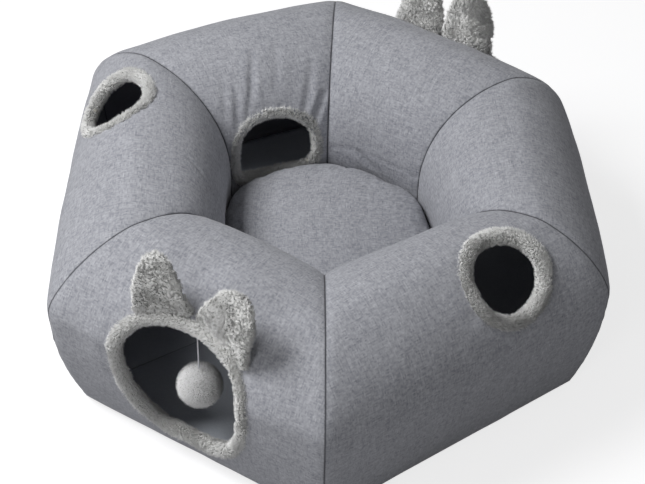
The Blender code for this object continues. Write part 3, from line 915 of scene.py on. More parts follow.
@dataclass(frozen=True)
class SewnSides:
    """What the cover, the padding and the lining share: a sheet for each side, cut away at its openings.

    Attributes:
        ring: the ring's form.
        openings: the bound openings, by name.
    """

    ring: RingForm
    openings: dict[str, Opening]

    def grid(self, side: int, low: float, spacing: float, fine: float | None) -> tuple[Array, ...]:
        """A grid of places over a side.

        Args:
            side: the side's number.
            low: how high over the tube's floor its two ends stand.
            spacing: of the grid.
            fine: its spacing at the corner seams, or None for an even grid.

        Returns:
            The share along the side, x, w and the distance from the nearer seam, at each place.
        """
        first, last = self.ring.reach_of_height(self.ring.tube_floor + low)
        length = float(self.ring.side_length(side, self.ring.crest_at))
        even = np.linspace(0, 1, round(length / spacing))
        along = even if fine is None else seam_spaced(length, spacing, fine)
        along_grid, w = np.meshgrid(along, np.linspace(first, last, round((last - first) / spacing)))
        local_length = self.ring.side_length(side, w)
        from_seam = np.minimum(along_grid, 1 - along_grid) * local_length
        return along_grid, (along_grid - 0.5) * local_length, w, from_seam

    def flat(self, side: int, x: Array, w: Array) -> Array:
        """Places on the uncut cloth, where the six lengths lie apart from each other."""
        return np.stack([x + 0.7 * side, w], axis=-1).reshape(-1, 2)

    def sheet(self, side: int, x: Array, w: Array, points: Array, seam: Array) -> Shell:
        """A grid of points as a sheet with its seams, without the cells that an opening takes away."""
        faces = grid_faces(*w.shape)
        for opening in self.openings.values():
            if opening.side == side:
                gap = opening.from_edge(x.ravel(), w.ravel())[0]
                faces = faces[gap[faces].mean(axis=1) > 0]
        shell = Shell(points.reshape(-1, 3), [faces], {"seam": seam.ravel()}, self.flat(side, x, w))
        return used_only(shell)

    def sew(
        self, name: str, shell: Shell, cloth: bpy.types.Material, thickness: float, slot: str, node: str
    ) -> None:
        """Makes one sheet, gives it its thickness and ties it to the ring and its node."""
        piece = make_piece(name, shell, cloth)
        thicken(piece, thickness)
        install(piece, "ring", slot, node)


@dataclass(frozen=True)
class CoverCloth(SewnSides):
    """The six linen panels, sewn corner to corner over the padding.

    Attributes:
        creases: the folds that show.
        proud: how far the cloth stands over the CAD cover, in a panel's middle.
        sink: how far it is drawn in along a corner seam.
        soft: how far from a seam it is full.
        groove: half of the seam's own width.
        uneven: the slow unevenness of the padding under it.
        lump, dimple: the size of its large and of its small unevenness.
        pucker: the gathers along the seams and the rolls.
        pucker_width: of one gather.
        seam_fade, roll_fade: how far from a seam and from a roll the gathers reach.
        hem: how far from its two bottom edges the cloth is full.
        low: how high over the tube's floor the cloth ends.
        thickness: of the cloth.
        spacing, seam_spacing: of the mesh.
    """

    creases: tuple[Crease, ...]
    proud: float = 2.2 * MM
    sink: float = 0.5 * MM
    soft: float = 9.0 * MM
    groove: float = 1.5 * MM
    uneven: float = 1.1 * MM
    lump: float = 0.075
    dimple: float = 0.028
    pucker: float = 0.7 * MM
    pucker_width: float = 0.011
    seam_fade: float = 0.012
    roll_fade: float = 0.014
    hem: float = 0.012
    low: float = 0.2 * MM
    thickness: float = 1.2 * MM
    spacing: float = 4.8 * MM
    seam_spacing: float = 0.8 * MM

    def relief(self, side: int, x: Array, w: Array, from_seam: Array) -> Array:
        """How far the cloth stands over the CAD cover's outside at each place.

        It falls to a seam by two bells, three quarters of it over soft and a quarter over the groove. Slow
        noises make it uneven, gathers fade away from seams and rolls as exp(-distance / fade), and the
        creases are added.
        """
        full = self.proud + self.sink
        off_groove = 1 - bell(from_seam, self.groove)
        inner = 1 - bell(from_seam, 3 * self.soft)
        relief = full * (1 - bell(from_seam, self.soft)) * 0.75 + full * off_groove * 0.25 - self.sink
        relief += inner * self.uneven * slow_noise(x, w, self.lump, LUMPS + side)
        relief += inner * 0.35 * self.uneven * slow_noise(x, w, self.dimple, DIMPLES + side)
        gather = slow_noise(w, x * 0, self.pucker_width, PUCKERS + side)
        relief += self.pucker * np.exp(-from_seam / self.seam_fade) * off_groove * gather
        for crease in self.creases:
            if SIDE_NAMES.index(crease.side_name) == side:
                relief += crease.relief(x, w)
        for opening in self.openings.values():
            if opening.side == side:
                gap, angle = opening.from_edge(x, w)
                outside = np.maximum(gap - opening.roll_radius, 0.0)
                gather = slow_noise(angle * 0.09, outside * 0, self.pucker_width, GATHERS + side)
                relief += 1.3 * self.pucker * np.exp(-outside / self.roll_fade) * gather
                relief -= 0.5 * self.proud * bell(outside, 0.006)
        ends = fade(np.minimum(w, self.ring.length - w) / self.hem)
        return np.maximum(relief, -self.sink) * ends

    def build(self) -> None:
        """Makes the six panels in place of the CAD covers."""
        linen = LINEN.make()
        for side, side_name in enumerate(SIDE_NAMES):
            along, x, w, from_seam = self.grid(side, self.low, self.spacing, self.seam_spacing)
            points = self.ring.place_along(side, along, w, -self.relief(side, x, w, from_seam))
            panel = self.sheet(side, x, w, points, bell(from_seam, 0.9 * self.groove))
            name, node = f"linen_panel_{side_name}", f"cover_{side_name}"
            self.sew(name, panel, linen, self.thickness, "linen_cover", node)


@dataclass(frozen=True)
class PaddingSheets(SewnSides):
    """The six sheets of foam between the cover and the lining.

    Attributes:
        depth: of the foam's outer face under the cover's outside.
        thickness: of the foam.
        spacing: of the mesh.
    """

    depth: float = 1.8 * MM
    thickness: float = 6.5 * MM
    spacing: float = 12.0 * MM

    def build(self) -> None:
        """Makes the sheets in place of the CAD's."""
        foam = PADDING.make()
        for side, side_name in enumerate(SIDE_NAMES):
            along, x, w, _ = self.grid(side, self.depth, self.spacing, None)
            points = self.ring.place_along(side, along, w, self.depth)
            # Its pattern is solid, so it needs no place on the flat cloth
            sheet = replace(self.sheet(side, x, w, points, np.zeros(w.shape)), flat=None)
            name, node = f"foam_sheet_{side_name}", f"foam_{side_name}"
            self.sew(name, sheet, foam, self.thickness, "foam_padding", node)


@dataclass(frozen=True)
class LiningCloth(SewnSides):
    """The six lengths of dark lining, each a wall and a floor, loose enough to wrinkle. The floor takes a
    paler copy of the lining, painted light for the light through the doors.

    Attributes:
        depth: of the lining's seen side under the cover's outside.
        wrinkle: how far its wrinkles stand into the tunnel.
        wrinkle_size: of one wrinkle across its own way.
        tight: how far from a seam the cloth is drawn tight.
        floor_wave, wave_size: how far the floor's cloth lifts, and over what distance.
        thickness: of the cloth.
        spacing, seam_spacing: of the mesh.
    """

    depth: float = 12.0 * MM
    wrinkle: float = 2.5 * MM
    wrinkle_size: float = 0.026
    tight: float = 0.02
    floor_wave: float = 1.2 * MM
    wave_size: float = 0.05
    thickness: float = 0.8 * MM
    spacing: float = 9.0 * MM
    seam_spacing: float = 2.0 * MM

    def tube(self, side: int) -> tuple[Shell, Shell]:
        """One length's wall and its floor, two sheets that meet along the tunnel's two bottom edges.

        The floor is ruled from the wall's one end to the other, (1 - s) first + s last, and lifted a little.
        """
        along, x, w, from_seam = self.grid(side, self.depth, self.spacing, self.seam_spacing)
        from_floor = np.minimum(w - w[0, 0], w[-1, 0] - w)
        loose = (1 - bell(from_seam, self.tight)) * fade(from_floor / 0.03)
        wrinkles = 0.5 + 0.5 * slow_noise(x, w * 0.4, self.wrinkle_size, WRINKLES + side)
        points = self.ring.place_along(side, along, w, self.depth + self.wrinkle * loose * wrinkles)
        seam = bell(from_seam, 1.6 * MM)
        wall = self.sheet(side, x, w, points, seam).flipped()
        count = round(np.linalg.norm(points[0] - points[-1], axis=-1).mean() / self.spacing)
        floor_x, share = np.broadcast_arrays(x[:1], np.linspace(0, 1, count)[:, None])
        floor = (1 - share)[..., None] * points[0] + share[..., None] * points[-1]
        rise = slow_noise(floor_x, share * 0.2, self.wave_size, FLOOR_WAVES + side)
        edge = fade(np.minimum(share, 1 - share) * 6) * (1 - bell(from_seam[:1], self.tight))
        floor[..., 2] += self.floor_wave * edge * (1 + rise)
        seams = {"seam": np.broadcast_to(seam[:1], share.shape).ravel()}
        flat = self.flat(side, floor_x, -0.3 * share)
        return wall, Shell(floor.reshape(-1, 3), [grid_faces(*share.shape)], seams, flat)

    def build(self) -> None:
        """Makes the six lengths in place of the CAD linings."""
        # The floor's paler copy of the lining is painted light, for the light that falls in through the doors
        cloths = LINING.make(), LINING_PAINTED_LIT_FLOOR.make()
        for side, side_name in enumerate(SIDE_NAMES):
            for part, shell, cloth in zip(("wall", "floor"), self.tube(side), cloths):
                name, node = f"lining_{part}_{side_name}", f"lining_{side_name}"
                self.sew(name, shell, cloth, self.thickness, "dark_lining", node)


@dataclass(frozen=True)
class BottomCloth:
    """The cloth under the ring and the well, with a soft rolled edge.

    Attributes:
        ring: the ring's form.
        inset: how far its edge lies inside the covers' bottom edge.
        thickness: of the cloth.
        rings: rows of points from its middle to its edge.
        per_side: columns along each side.
    """

    ring: RingForm
    inset: float = 2.0 * MM
    thickness: float = 3.0 * MM
    rings: int = 40
    per_side: int = 24

    def build(self) -> None:
        """Makes the cloth in place of the CAD's bottom panel: two faces of a hexagon joined by a round edge.

        The edge's profile is half an ellipse: out by r cos t and up by r sin t.
        """
        u = self.ring.base_apothem - self.inset
        corners = np.array([self.ring.corner_place(k, u, 0.0) - self.ring.middle for k in range(SIDES + 1)])
        share = np.linspace(0, 1, self.per_side, endpoint=False)[:, None]
        outline = np.concatenate([(1 - share) * a + share * b for a, b in zip(corners[:-1], corners[1:])])
        centre = outline.mean(axis=0)
        half = self.thickness / 2
        shrink = 1 - half / np.linalg.norm(outline - centre, axis=-1).mean()
        spread = np.linspace(0.02, 1, self.rings)
        turn = np.linspace(-math.pi / 2, math.pi / 2, 9)[1:-1]
        scale = np.concatenate([shrink * spread, shrink + (1 - shrink) * np.cos(turn), shrink * spread[::-1]])
        bottom, top = np.zeros(self.rings), np.full(self.rings, self.thickness)
        points = centre + scale[:, None, None] * (outline - centre)
        points[..., 2] = np.concatenate([bottom, half + half * np.sin(turn), top])[:, None]
        shell = capped(points, np.array([*centre[:2], 0.0]), np.array([*centre[:2], self.thickness]))
        shell.values = {"seam": np.zeros(len(shell.points))}
        install(make_piece("bottom_cloth", shell, BOTTOM.make()), "ring", "base_cloth", "base_panel")


# ---------------------------------------------------------------- plush


# A roll's and an ear's core, as strand and tint: the colour near the roots, with their painted shade
CORE_TONE = (0.1, 0.5)


@dataclass
class Places:
    """Places scattered over a surface.

    Attributes:
        points: (n, 3) places.
        normals: (n, 3) ways out of the surface.
        along: (n, 3) ways in which the surface's rows run.
        rows: which row of the surface's grid each place lies in.
        cell: the area that one place has to itself.
    """

    points: Array
    normals: Array
    along: Array
    rows: Array
    cell: float

    def kept(self, keep: Array) -> "Places":
        """Only the places that are marked."""
        return Places(self.points[keep], self.normals[keep], self.along[keep], self.rows[keep], self.cell)


def scatter(surface: Array, wraps: tuple[bool, bool], count: int, seed: int) -> Places:
    """Random places spread evenly over a surface worked out on a grid.

    A cell is drawn with a chance equal to its share of the area, and the place in it is a blend of its four
    corners.

    Args:
        surface: (rows, columns, 3) points.
        wraps: whether the rows and the columns close on themselves.
        count: how many places.
        seed: which random places.

    Returns:
        The places, with the normals as the grid's faces have them.
    """
    rng = np.random.default_rng(seed)
    rows, columns = surface.shape[:2]
    faces = grid_faces(rows, columns, *wraps)
    a, b, c, d = np.moveaxis(surface.reshape(-1, 3)[faces], 1, 0)
    normal = np.cross(c - a, d - b)
    area = np.linalg.norm(normal, axis=-1)
    cell = rng.choice(len(faces), count, p=area / area.sum())
    s, t = rng.random((2, count, 1))
    place = (1 - t) * ((1 - s) * a[cell] + s * b[cell]) + t * ((1 - s) * d[cell] + s * c[cell])
    rows_of = faces[cell, 0] // columns
    return Places(place, unit(normal[cell]), unit((d + c - a - b)[cell]), rows_of, area.sum() / 2 / count)


@dataclass(frozen=True)
class Pile:
    """Tufts of fibre, each a three-sided spike, whose tips draw together in locks.

    Attributes:
        length: of a tuft, in metres.
        width: at its foot.
        lean: how much of its rise is along the surface instead of out of it.
        turn: how far a lock turns from the surface's own way.
        lock: the distance between two locks, in metres.
        gather: how far a tuft's tip is drawn to its lock's tip, as a share.
        stray: how far each tuft wanders, as a share of its length.
        seed: which random tufts.
        lock_spread: how far the locks' ways differ.
        lock_lengths, tuft_lengths, tuft_widths: the shortest and the longest, in lengths or widths.
        tip_spread: how far a tip wanders, in lengths.
        lock_tint, tuft_tint: how far the locks' and the tufts' tints differ.
    """

    length: float
    width: float
    lean: float
    turn: float
    lock: float
    gather: float
    stray: float
    seed: int = 0
    lock_spread: float = 0.35
    lock_lengths: tuple[float, float] = (0.85, 1.15)
    tuft_lengths: tuple[float, float] = (0.7, 1.2)
    tuft_widths: tuple[float, float] = (0.7, 1.3)
    tip_spread: float = 0.06
    lock_tint: float = 0.22
    tuft_tint: float = 0.15

    def flow(self, points: Array) -> Array:
        """A slowly turning way at each point: in each axis, the sum of slow noises over the three planes."""
        x, y, z = points.T
        planes = ((x, y, 0), (y, z, 3), (z, x, 6))
        size = 5 * self.lock
        ways = [sum(slow_noise(a, b, size, self.seed + step + k) for a, b, step in planes) for k in range(3)]
        return np.stack(ways, axis=-1)

    def grow(self, places: Places) -> Shell:
        """Tufts at these places: each foot is a triangle round the tuft's line, and the tip is a point.

        Some of the places are picked as locks, each with its own way and tip. Every tuft belongs to its
        nearest lock.

        Args:
            places: the roots.

        Returns:
            One shell with every tuft, and its strand and tint values.
        """
        rng = np.random.default_rng(self.seed)
        count = len(places.points)
        picked = rng.choice(count, max(1, round(count * places.cell / self.lock**2)), replace=False)
        tree = KDTree(len(picked))
        for number, point in enumerate(places.points[picked]):
            tree.insert(point, number)
        tree.balance()
        own = np.array([tree.find(point)[1] for point in places.points])
        ways = unit(places.along[picked] + self.turn * self.flow(places.points[picked]))
        ways = unit(ways + rng.normal(0, self.lock_spread, ways.shape))
        lock_rise = unit((1 - self.lean) * places.normals[picked] + self.lean * ways)
        lock_length = self.length * rng.uniform(*self.lock_lengths, (len(picked), 1))
        lock_tip = places.points[picked] + lock_length * lock_rise
        rise = unit((1 - self.lean) * places.normals + self.lean * ways[own])
        rise = unit(rise + rng.normal(0, self.stray, (count, 3)))
        length = self.length * rng.uniform(*self.tuft_lengths, (count, 1))
        foot = places.points - 0.5 * self.width * places.normals
        tip = (1 - self.gather) * (foot + length * rise) + self.gather * lock_tip[own]
        tip += rng.normal(0, self.tip_spread * self.length, (count, 3))
        line = unit(tip - foot)
        first = unit(np.cross(line, rng.normal(size=(count, 3))))
        second = np.cross(line, first)
        turn = full_turn(3)[None, :, None]
        round_line = np.cos(turn) * first[:, None] + np.sin(turn) * second[:, None]
        width = self.width * rng.uniform(*self.tuft_widths, (count, 1, 1))
        points = np.concatenate([foot[:, None] + 0.5 * width * round_line, tip[:, None]], axis=1)
        start = 4 * np.arange(count)[:, None, None]
        triangles = start + np.array([[0, 1, 3], [1, 2, 3], [2, 0, 3], [2, 1, 0]])
        lock_tint = rng.normal(0, self.lock_tint, len(picked))[own]
        tint = np.clip(0.5 + lock_tint + rng.normal(0, self.tuft_tint, count), 0, 1)
        return Shell(
            points.reshape(-1, 3),
            [triangles.reshape(-1, 3)],
            {"strand": np.tile([0.0, 0.0, 0.0, 1.0], count), "tint": np.repeat(tint, 4)},
        )


ROLL_PILE = Pile(
    length=6.5 * MM, width=1.0 * MM, lean=0.45, turn=0.9, lock=3.2 * MM, gather=0.3, stray=0.2
)
EAR_PILE = Pile(
    length=7.0 * MM, width=1.0 * MM, lean=0.55, turn=0.8, lock=3.4 * MM, gather=0.28, stray=0.16
)
POMPOM_PILE = Pile(
    length=7.5 * MM, width=0.8 * MM, lean=0.05, turn=0.5, lock=4.0 * MM, gather=0.1, stray=0.45
)


@dataclass(frozen=True)
class PlushRoll:
    """A padded plush roll sewn round an opening.

    Attributes:
        ring: the ring's form.
        opening: what it binds.
        tufts: how many tufts grow on it.
        seed: which random tufts.
        pile_length: how long they are.
        stuffing: how much thicker it is than the CAD's roll, away from the hole.
        core_share: how far its core lies inside it, in lengths of the pile.
        lump: how uneven the core is.
        sewn_cos: the tufts whose way is nearer than this to the wall's are left out.
        rows, columns: points along it and round it.
    """

    ring: RingForm
    opening: Opening
    tufts: int
    seed: int
    pile_length: float
    stuffing: float
    core_share: float = 0.62
    lump: float = 0.05
    sewn_cos: float = 0.9
    rows: int = 260
    columns: int = 20

    @cached_property
    def path(self) -> tuple[Array, Array, Array]:
        """The roll's middle at evenly spread places, with the ways out of the wall and away from the hole."""

        def line(angles: Array, depth: float) -> Array:
            """The roll's own line on the wall, this far under the cloth."""
            return self.opening.line(self.ring, angles, self.stuffing, depth)

        angles = np.linspace(0, 2 * math.pi, 721)
        steps = np.linalg.norm(np.diff(line(angles, WALL_DEPTH / 2), axis=0), axis=-1)
        travelled = np.concatenate([[0], np.cumsum(steps)])
        even = np.interp(np.linspace(0, travelled[-1], self.rows, endpoint=False), travelled, angles)
        middle = line(even, WALL_DEPTH / 2)
        tangent = unit(np.roll(middle, -1, axis=0) - np.roll(middle, 1, axis=0))
        normal = unit(line(even, 0.0) - line(even, WALL_DEPTH))
        away = unit(np.cross(tangent, normal))
        away *= np.sign(np.sum(away * (middle - middle.mean(axis=0)), axis=1, keepdims=True))
        return middle, normal, away

    def surface(self, radius: float) -> Array:
        """The tube round the path: middle + radius (cos t away + sin t normal), a little uneven."""
        middle, normal, away = self.path
        turn = full_turn(self.columns)[None, :, None]
        lumps = slow_noise(np.arange(self.rows)[:, None] * 0.01, turn[..., 0] * 0.02, 0.04, self.seed)
        spokes = np.cos(turn) * away[:, None] + np.sin(turn) * normal[:, None]
        return middle[:, None] + radius * (1 + self.lump * lumps)[..., None] * spokes

    def build(self, plush: bpy.types.Material) -> None:
        """Makes the roll in place of its CAD node. No tufts grow where it sits on the wall's edge."""
        radius = self.opening.roll_radius + self.stuffing
        core = self.surface(radius - self.core_share * self.pile_length)
        middle, _, away = self.path
        faces = grid_faces(self.rows, self.columns, True, True)
        base = Shell(core.reshape(-1, 3), [faces]).outward().toned(*CORE_TONE)
        places = scatter(core, (True, True), self.tufts, self.seed)
        places.normals = unit(places.points - middle[places.rows])
        places = places.kept(np.sum(places.normals * away[places.rows], axis=-1) < self.sewn_cos)
        fur = replace(ROLL_PILE, length=self.pile_length, seed=self.seed).grow(places)
        name = self.opening.name
        piece = make_piece(f"{name}_plush_roll", joined([base, fur]), plush)
        install(piece, "ring", "plush_pile", f"{name}_trim")


@dataclass(frozen=True)
class PlushEar:
    """A padded plush ear: its foot follows the door's roll on the cover, and it rises to a round tip.

    Attributes:
        ring: the ring's form.
        door: the door it stands over.
        name: its CAD node.
        mirror: 1 for the ear at the end of the arch where x rises, -1 for the other.
        splay_deg: how far it leans to its own side.
        seed: which random tufts.
        span_deg: the part of the arch that its foot takes, as angles of the outline.
        taper_share: how much narrower it is below its round tip.
        tip_power: how late the tip's rounding starts.
        height: from its foot to its tip.
        thickness: of its padding.
        bow: how far its middle stands forward.
        lean_out_deg: how far it leans out.
        tufts: how many tufts grow on it.
        rows, columns: points from its foot to its tip, and round it.
    """

    ring: RingForm
    door: Opening
    name: str
    mirror: int
    splay_deg: float
    seed: int
    span_deg: tuple[float, float]
    taper_share: float
    tip_power: float
    height: float = 0.102
    thickness: float = 0.016
    bow: float = 0.006
    lean_out_deg: float = 3.0
    tufts: int = 26000
    rows: int = 26
    columns: int = 40

    def ways(self) -> tuple[Array, Array]:
        """The way that the ear rises, leaning out and to its own side, and the way of its front."""
        ends = [self.ring.corner_place(self.door.side + k, self.ring.outer_apothem, 0.0) for k in (0, 1)]
        along = unit(ends[1] - ends[0])
        outward = np.array([along[1], -along[0], 0.0])
        lean, splay = math.radians(self.lean_out_deg), math.radians(self.splay_deg)
        rise = np.array([0.0, 0.0, math.cos(lean)]) + math.sin(lean) * outward
        rise = math.cos(splay) * rise + self.mirror * math.sin(splay) * along
        front = unit(np.cross(along, rise))
        return rise, front * np.sign(front @ outward)

    def on_roll(self, across: Array, grow: Array) -> Array:
        """Places on the cover along the door's outline, where across runs over the ear from -1 to 1."""
        first, last = (math.radians(angle) for angle in self.span_deg)
        angle = first + (last - first) * (across + 1) / 2
        return self.door.line(self.ring, angle if self.mirror > 0 else math.pi - angle, grow, 0.0)

    def surface(self) -> Array:
        """The ear's skin, rows from foot to tip and columns round it.

        Across it at turn t the place is cos t, and its padding is half the thickness times sin t. Its width
        falls as (1 - taper level) sqrt(1 - level^tip). Near its foot the place blends to the outline on the
        cover, under the roll's pile.
        """
        rise, front = self.ways()
        turn = full_turn(self.columns)
        across, padding = np.cos(turn), self.thickness / 2 * np.sin(turn)
        roll = self.door.roll_radius
        centre = self.on_roll(np.array([0.0]), roll)[0]
        foot = self.on_roll(across, roll - padding)
        spread = self.on_roll(across, roll) - centre
        lift = spread @ rise
        flat_spread = spread - lift[:, None] * rise
        level = (1 - (1 - np.linspace(0, 1, self.rows)) ** 1.5)[:, None]
        narrow = (1 - self.taper_share * level) * np.sqrt(np.clip(1 - level**self.tip_power, 0, 1))
        up = (1 - level) * lift + level * self.height
        forward = self.bow * np.sin(math.pi * level)
        forward = forward + padding * (1 - level / 3) * np.sqrt(np.clip(narrow, 0, 1))
        body = centre + narrow[..., None] * flat_spread + up[..., None] * rise + forward[..., None] * front
        blend = fade(level / 0.2)[..., None]
        return (1 - blend) * foot + blend * body

    def build(self, plush: bpy.types.Material) -> None:
        """Makes the ear in place of its CAD node."""
        skin = self.surface()
        base = capped(skin[:-1], skin[0].mean(axis=0), skin[-1, 0]).toned(*CORE_TONE)
        places = scatter(skin, (False, True), self.tufts, self.seed)
        outward = np.sum(places.normals * (places.points - skin.mean(axis=(0, 1))), axis=-1)
        places.normals *= np.sign(outward.mean())
        fur = replace(EAR_PILE, seed=self.seed).grow(places)
        piece = make_piece(f"{self.name}_plush", joined([base, fur]), plush)
        install(piece, "ring", "plush_pile", self.name)


# ---------------------------------------------------------------- the toy


@dataclass(frozen=True)
class Toy:
    """The pom-pom on its white cord, hung from a knot under the front door's roll.

    Attributes:
        ring: the ring's form.
        door: the front door.
        shift: how far the cord hangs from the arch's middle.
        knot_radius, cord_radius, cord_length, pompom_radius: its pieces' sizes.
        gap: between two pieces that touch.
        cord_points: along the cord.
        tufts: how many tufts the pom-pom has.
        clipped: how far the tufts' feet lie inside the ball.
    """

    ring: RingForm
    door: Opening
    shift: float = 0.0065
    knot_radius: float = 0.003
    cord_radius: float = 0.0011
    cord_length: float = 0.060
    pompom_radius: float = 0.033
    gap: float = 0.0003
    cord_points: int = 15
    tufts: int = 14000
    clipped: float = 6.5 * MM

    @cached_property
    def knot_middle(self) -> Array:
        """Where the knot hangs."""
        turn = math.acos(self.shift / self.door.half_width)
        roll = self.door.line(self.ring, np.array([turn]), 0.0, WALL_DEPTH / 2)[0]
        return roll - [0, 0, self.door.roll_radius + self.gap + self.knot_radius]

    def tube(self, line: Array, radius: float, columns: int) -> Shell:
        """A closed tube round a closed line: line + radius (cos t side + sin t up)."""
        tangent = unit(np.roll(line, -1, axis=0) - np.roll(line, 1, axis=0))
        side = unit(np.cross(tangent, [0.31, 0.22, 0.92]))
        up = np.cross(side, tangent)
        turn = full_turn(columns)[None, :, None]
        points = line[:, None] + radius * (np.cos(turn) * side[:, None] + np.sin(turn) * up[:, None])
        return Shell(points.reshape(-1, 3), [grid_faces(len(line), columns, True, True)]).outward()

    def build_knot(self, cotton: bpy.types.Material) -> None:
        """The knot: a trefoil, (sin t + 2 sin 2t, cos t - 2 cos 2t, -1.3 sin 3t), drawn tight in the cord."""
        turn = full_turn(72)
        across, depth = np.sin(turn) + 2 * np.sin(2 * turn), np.cos(turn) - 2 * np.cos(2 * turn)
        line = np.stack([across, depth, -1.3 * np.sin(3 * turn)], axis=-1)
        reach = self.knot_radius - 0.8 * self.cord_radius
        shell = self.tube(self.knot_middle + line / 3 * reach, 0.8 * self.cord_radius, 10)
        install(make_piece("toy_cord_knot", shell, cotton), "toy_knot", "white_cord", "toy_knot")

    def build_cord(self, cotton: bpy.types.Material) -> None:
        """The cord, straight down to the pom-pom, as a live curve."""
        top = self.knot_middle - [0, 0, self.knot_radius + self.gap]
        curve = bpy.data.curves.new("toy_cord_cotton", "CURVE")
        curve.dimensions = "3D"
        curve.bevel_depth = self.cord_radius
        curve.bevel_resolution = 3
        curve.use_fill_caps = True
        spline = curve.splines.new("POLY")
        spline.points.add(self.cord_points - 1)
        line = np.tile([*top, 1.0], (self.cord_points, 1))
        line[:, 2] -= np.linspace(0, self.cord_length, self.cord_points)
        spline.points.foreach_set("co", line.ravel())
        curve.materials.append(cotton)
        piece = add_object("toy_cord_cotton", curve)
        install(piece, "toy", "white_cord", "toy_cord")

    def build_pompom(self) -> None:
        """The pom-pom: a ball of fibres that all point out, clipped round.

        The ball is (sin p cos t, sin p sin t, cos p), with a fan over each end.
        """
        drop = self.knot_radius + self.gap + self.cord_length + self.gap + self.pompom_radius
        centre = self.knot_middle - [0, 0, drop]
        rows, columns = 24, 36
        turn, pole = np.meshgrid(full_turn(columns), np.linspace(0.001, math.pi - 0.001, rows))
        ball = np.stack([np.sin(pole) * np.cos(turn), np.sin(pole) * np.sin(turn), np.cos(pole)], axis=-1)
        core = centre + (self.pompom_radius - self.clipped) * ball
        second = np.arange(1, columns - 1)
        fan = np.stack([0 * second, second, second + 1], axis=-1)
        faces = [grid_faces(rows, columns, wrap_columns=True), fan[:, ::-1], fan + (rows - 1) * columns]
        base = Shell(core.reshape(-1, 3), faces).outward().toned(0.3, 0.3)
        places = scatter(core, (False, True), self.tufts, POMPOM_PLACES)
        places.normals = unit(places.points - centre)
        fur = replace(POMPOM_PILE, seed=POMPOM_TUFTS).grow(places)
        piece = make_piece("pompom_wool_ball", joined([base, fur]), POMPOM.make())
        install(piece, "toy", "pompom_wool", "pompom")

    def build(self) -> None:
        """Makes the toy's three pieces."""
        cotton = CottonCord().make()
        self.build_knot(cotton)
        self.build_cord(cotton)
        self.build_pompom()


@dataclass(frozen=True)
class CottonCord:
    """Twisted white cotton cord: matt, with slanting strands 1.4 mm apart and painted shade between them.

    Attributes:
        light, groove: the colours of a strand and of the painted shade between two.
        lay: the distance from one strand to the next along the cord.
    """

    light: str = "#e9eaef"
    groove: str = "#b9bbc4"
    lay: float = 1.4 * MM

    def make(self) -> bpy.types.Material:
        """The material: bands of a wave along the cord's height, bent by its way round."""
        material, tree, shader = blank_material("cotton_cord_twisted")
        place = add_node(tree, "ShaderNodeTexCoord").outputs["Object"]
        wave = {"Vector": place, "Scale": 1 / self.lay / 3.2, "Distortion": 0.5}
        ways = {"wave_type": "BANDS", "bands_direction": "DIAGONAL"}
        bands = add_node(tree, "ShaderNodeTexWave", wave, **ways).outputs["Fac"]
        # The darker bands are painted shade between the strands
        parts = {"Factor": bands, 6: srgb(self.groove), 7: srgb(self.light)}
        relief = {"Height": bands, "Distance": 0.3 * MM}
        finish = {
            "Base Color": add_node(tree, "ShaderNodeMix", parts, data_type="RGBA").outputs[2],
            "Normal": add_node(tree, "ShaderNodeBump", relief).outputs["Normal"],
            "Roughness": 0.8,
        }
        set_inputs(shader, finish)
        return material


# ---------------------------------------------------------------- the cushion


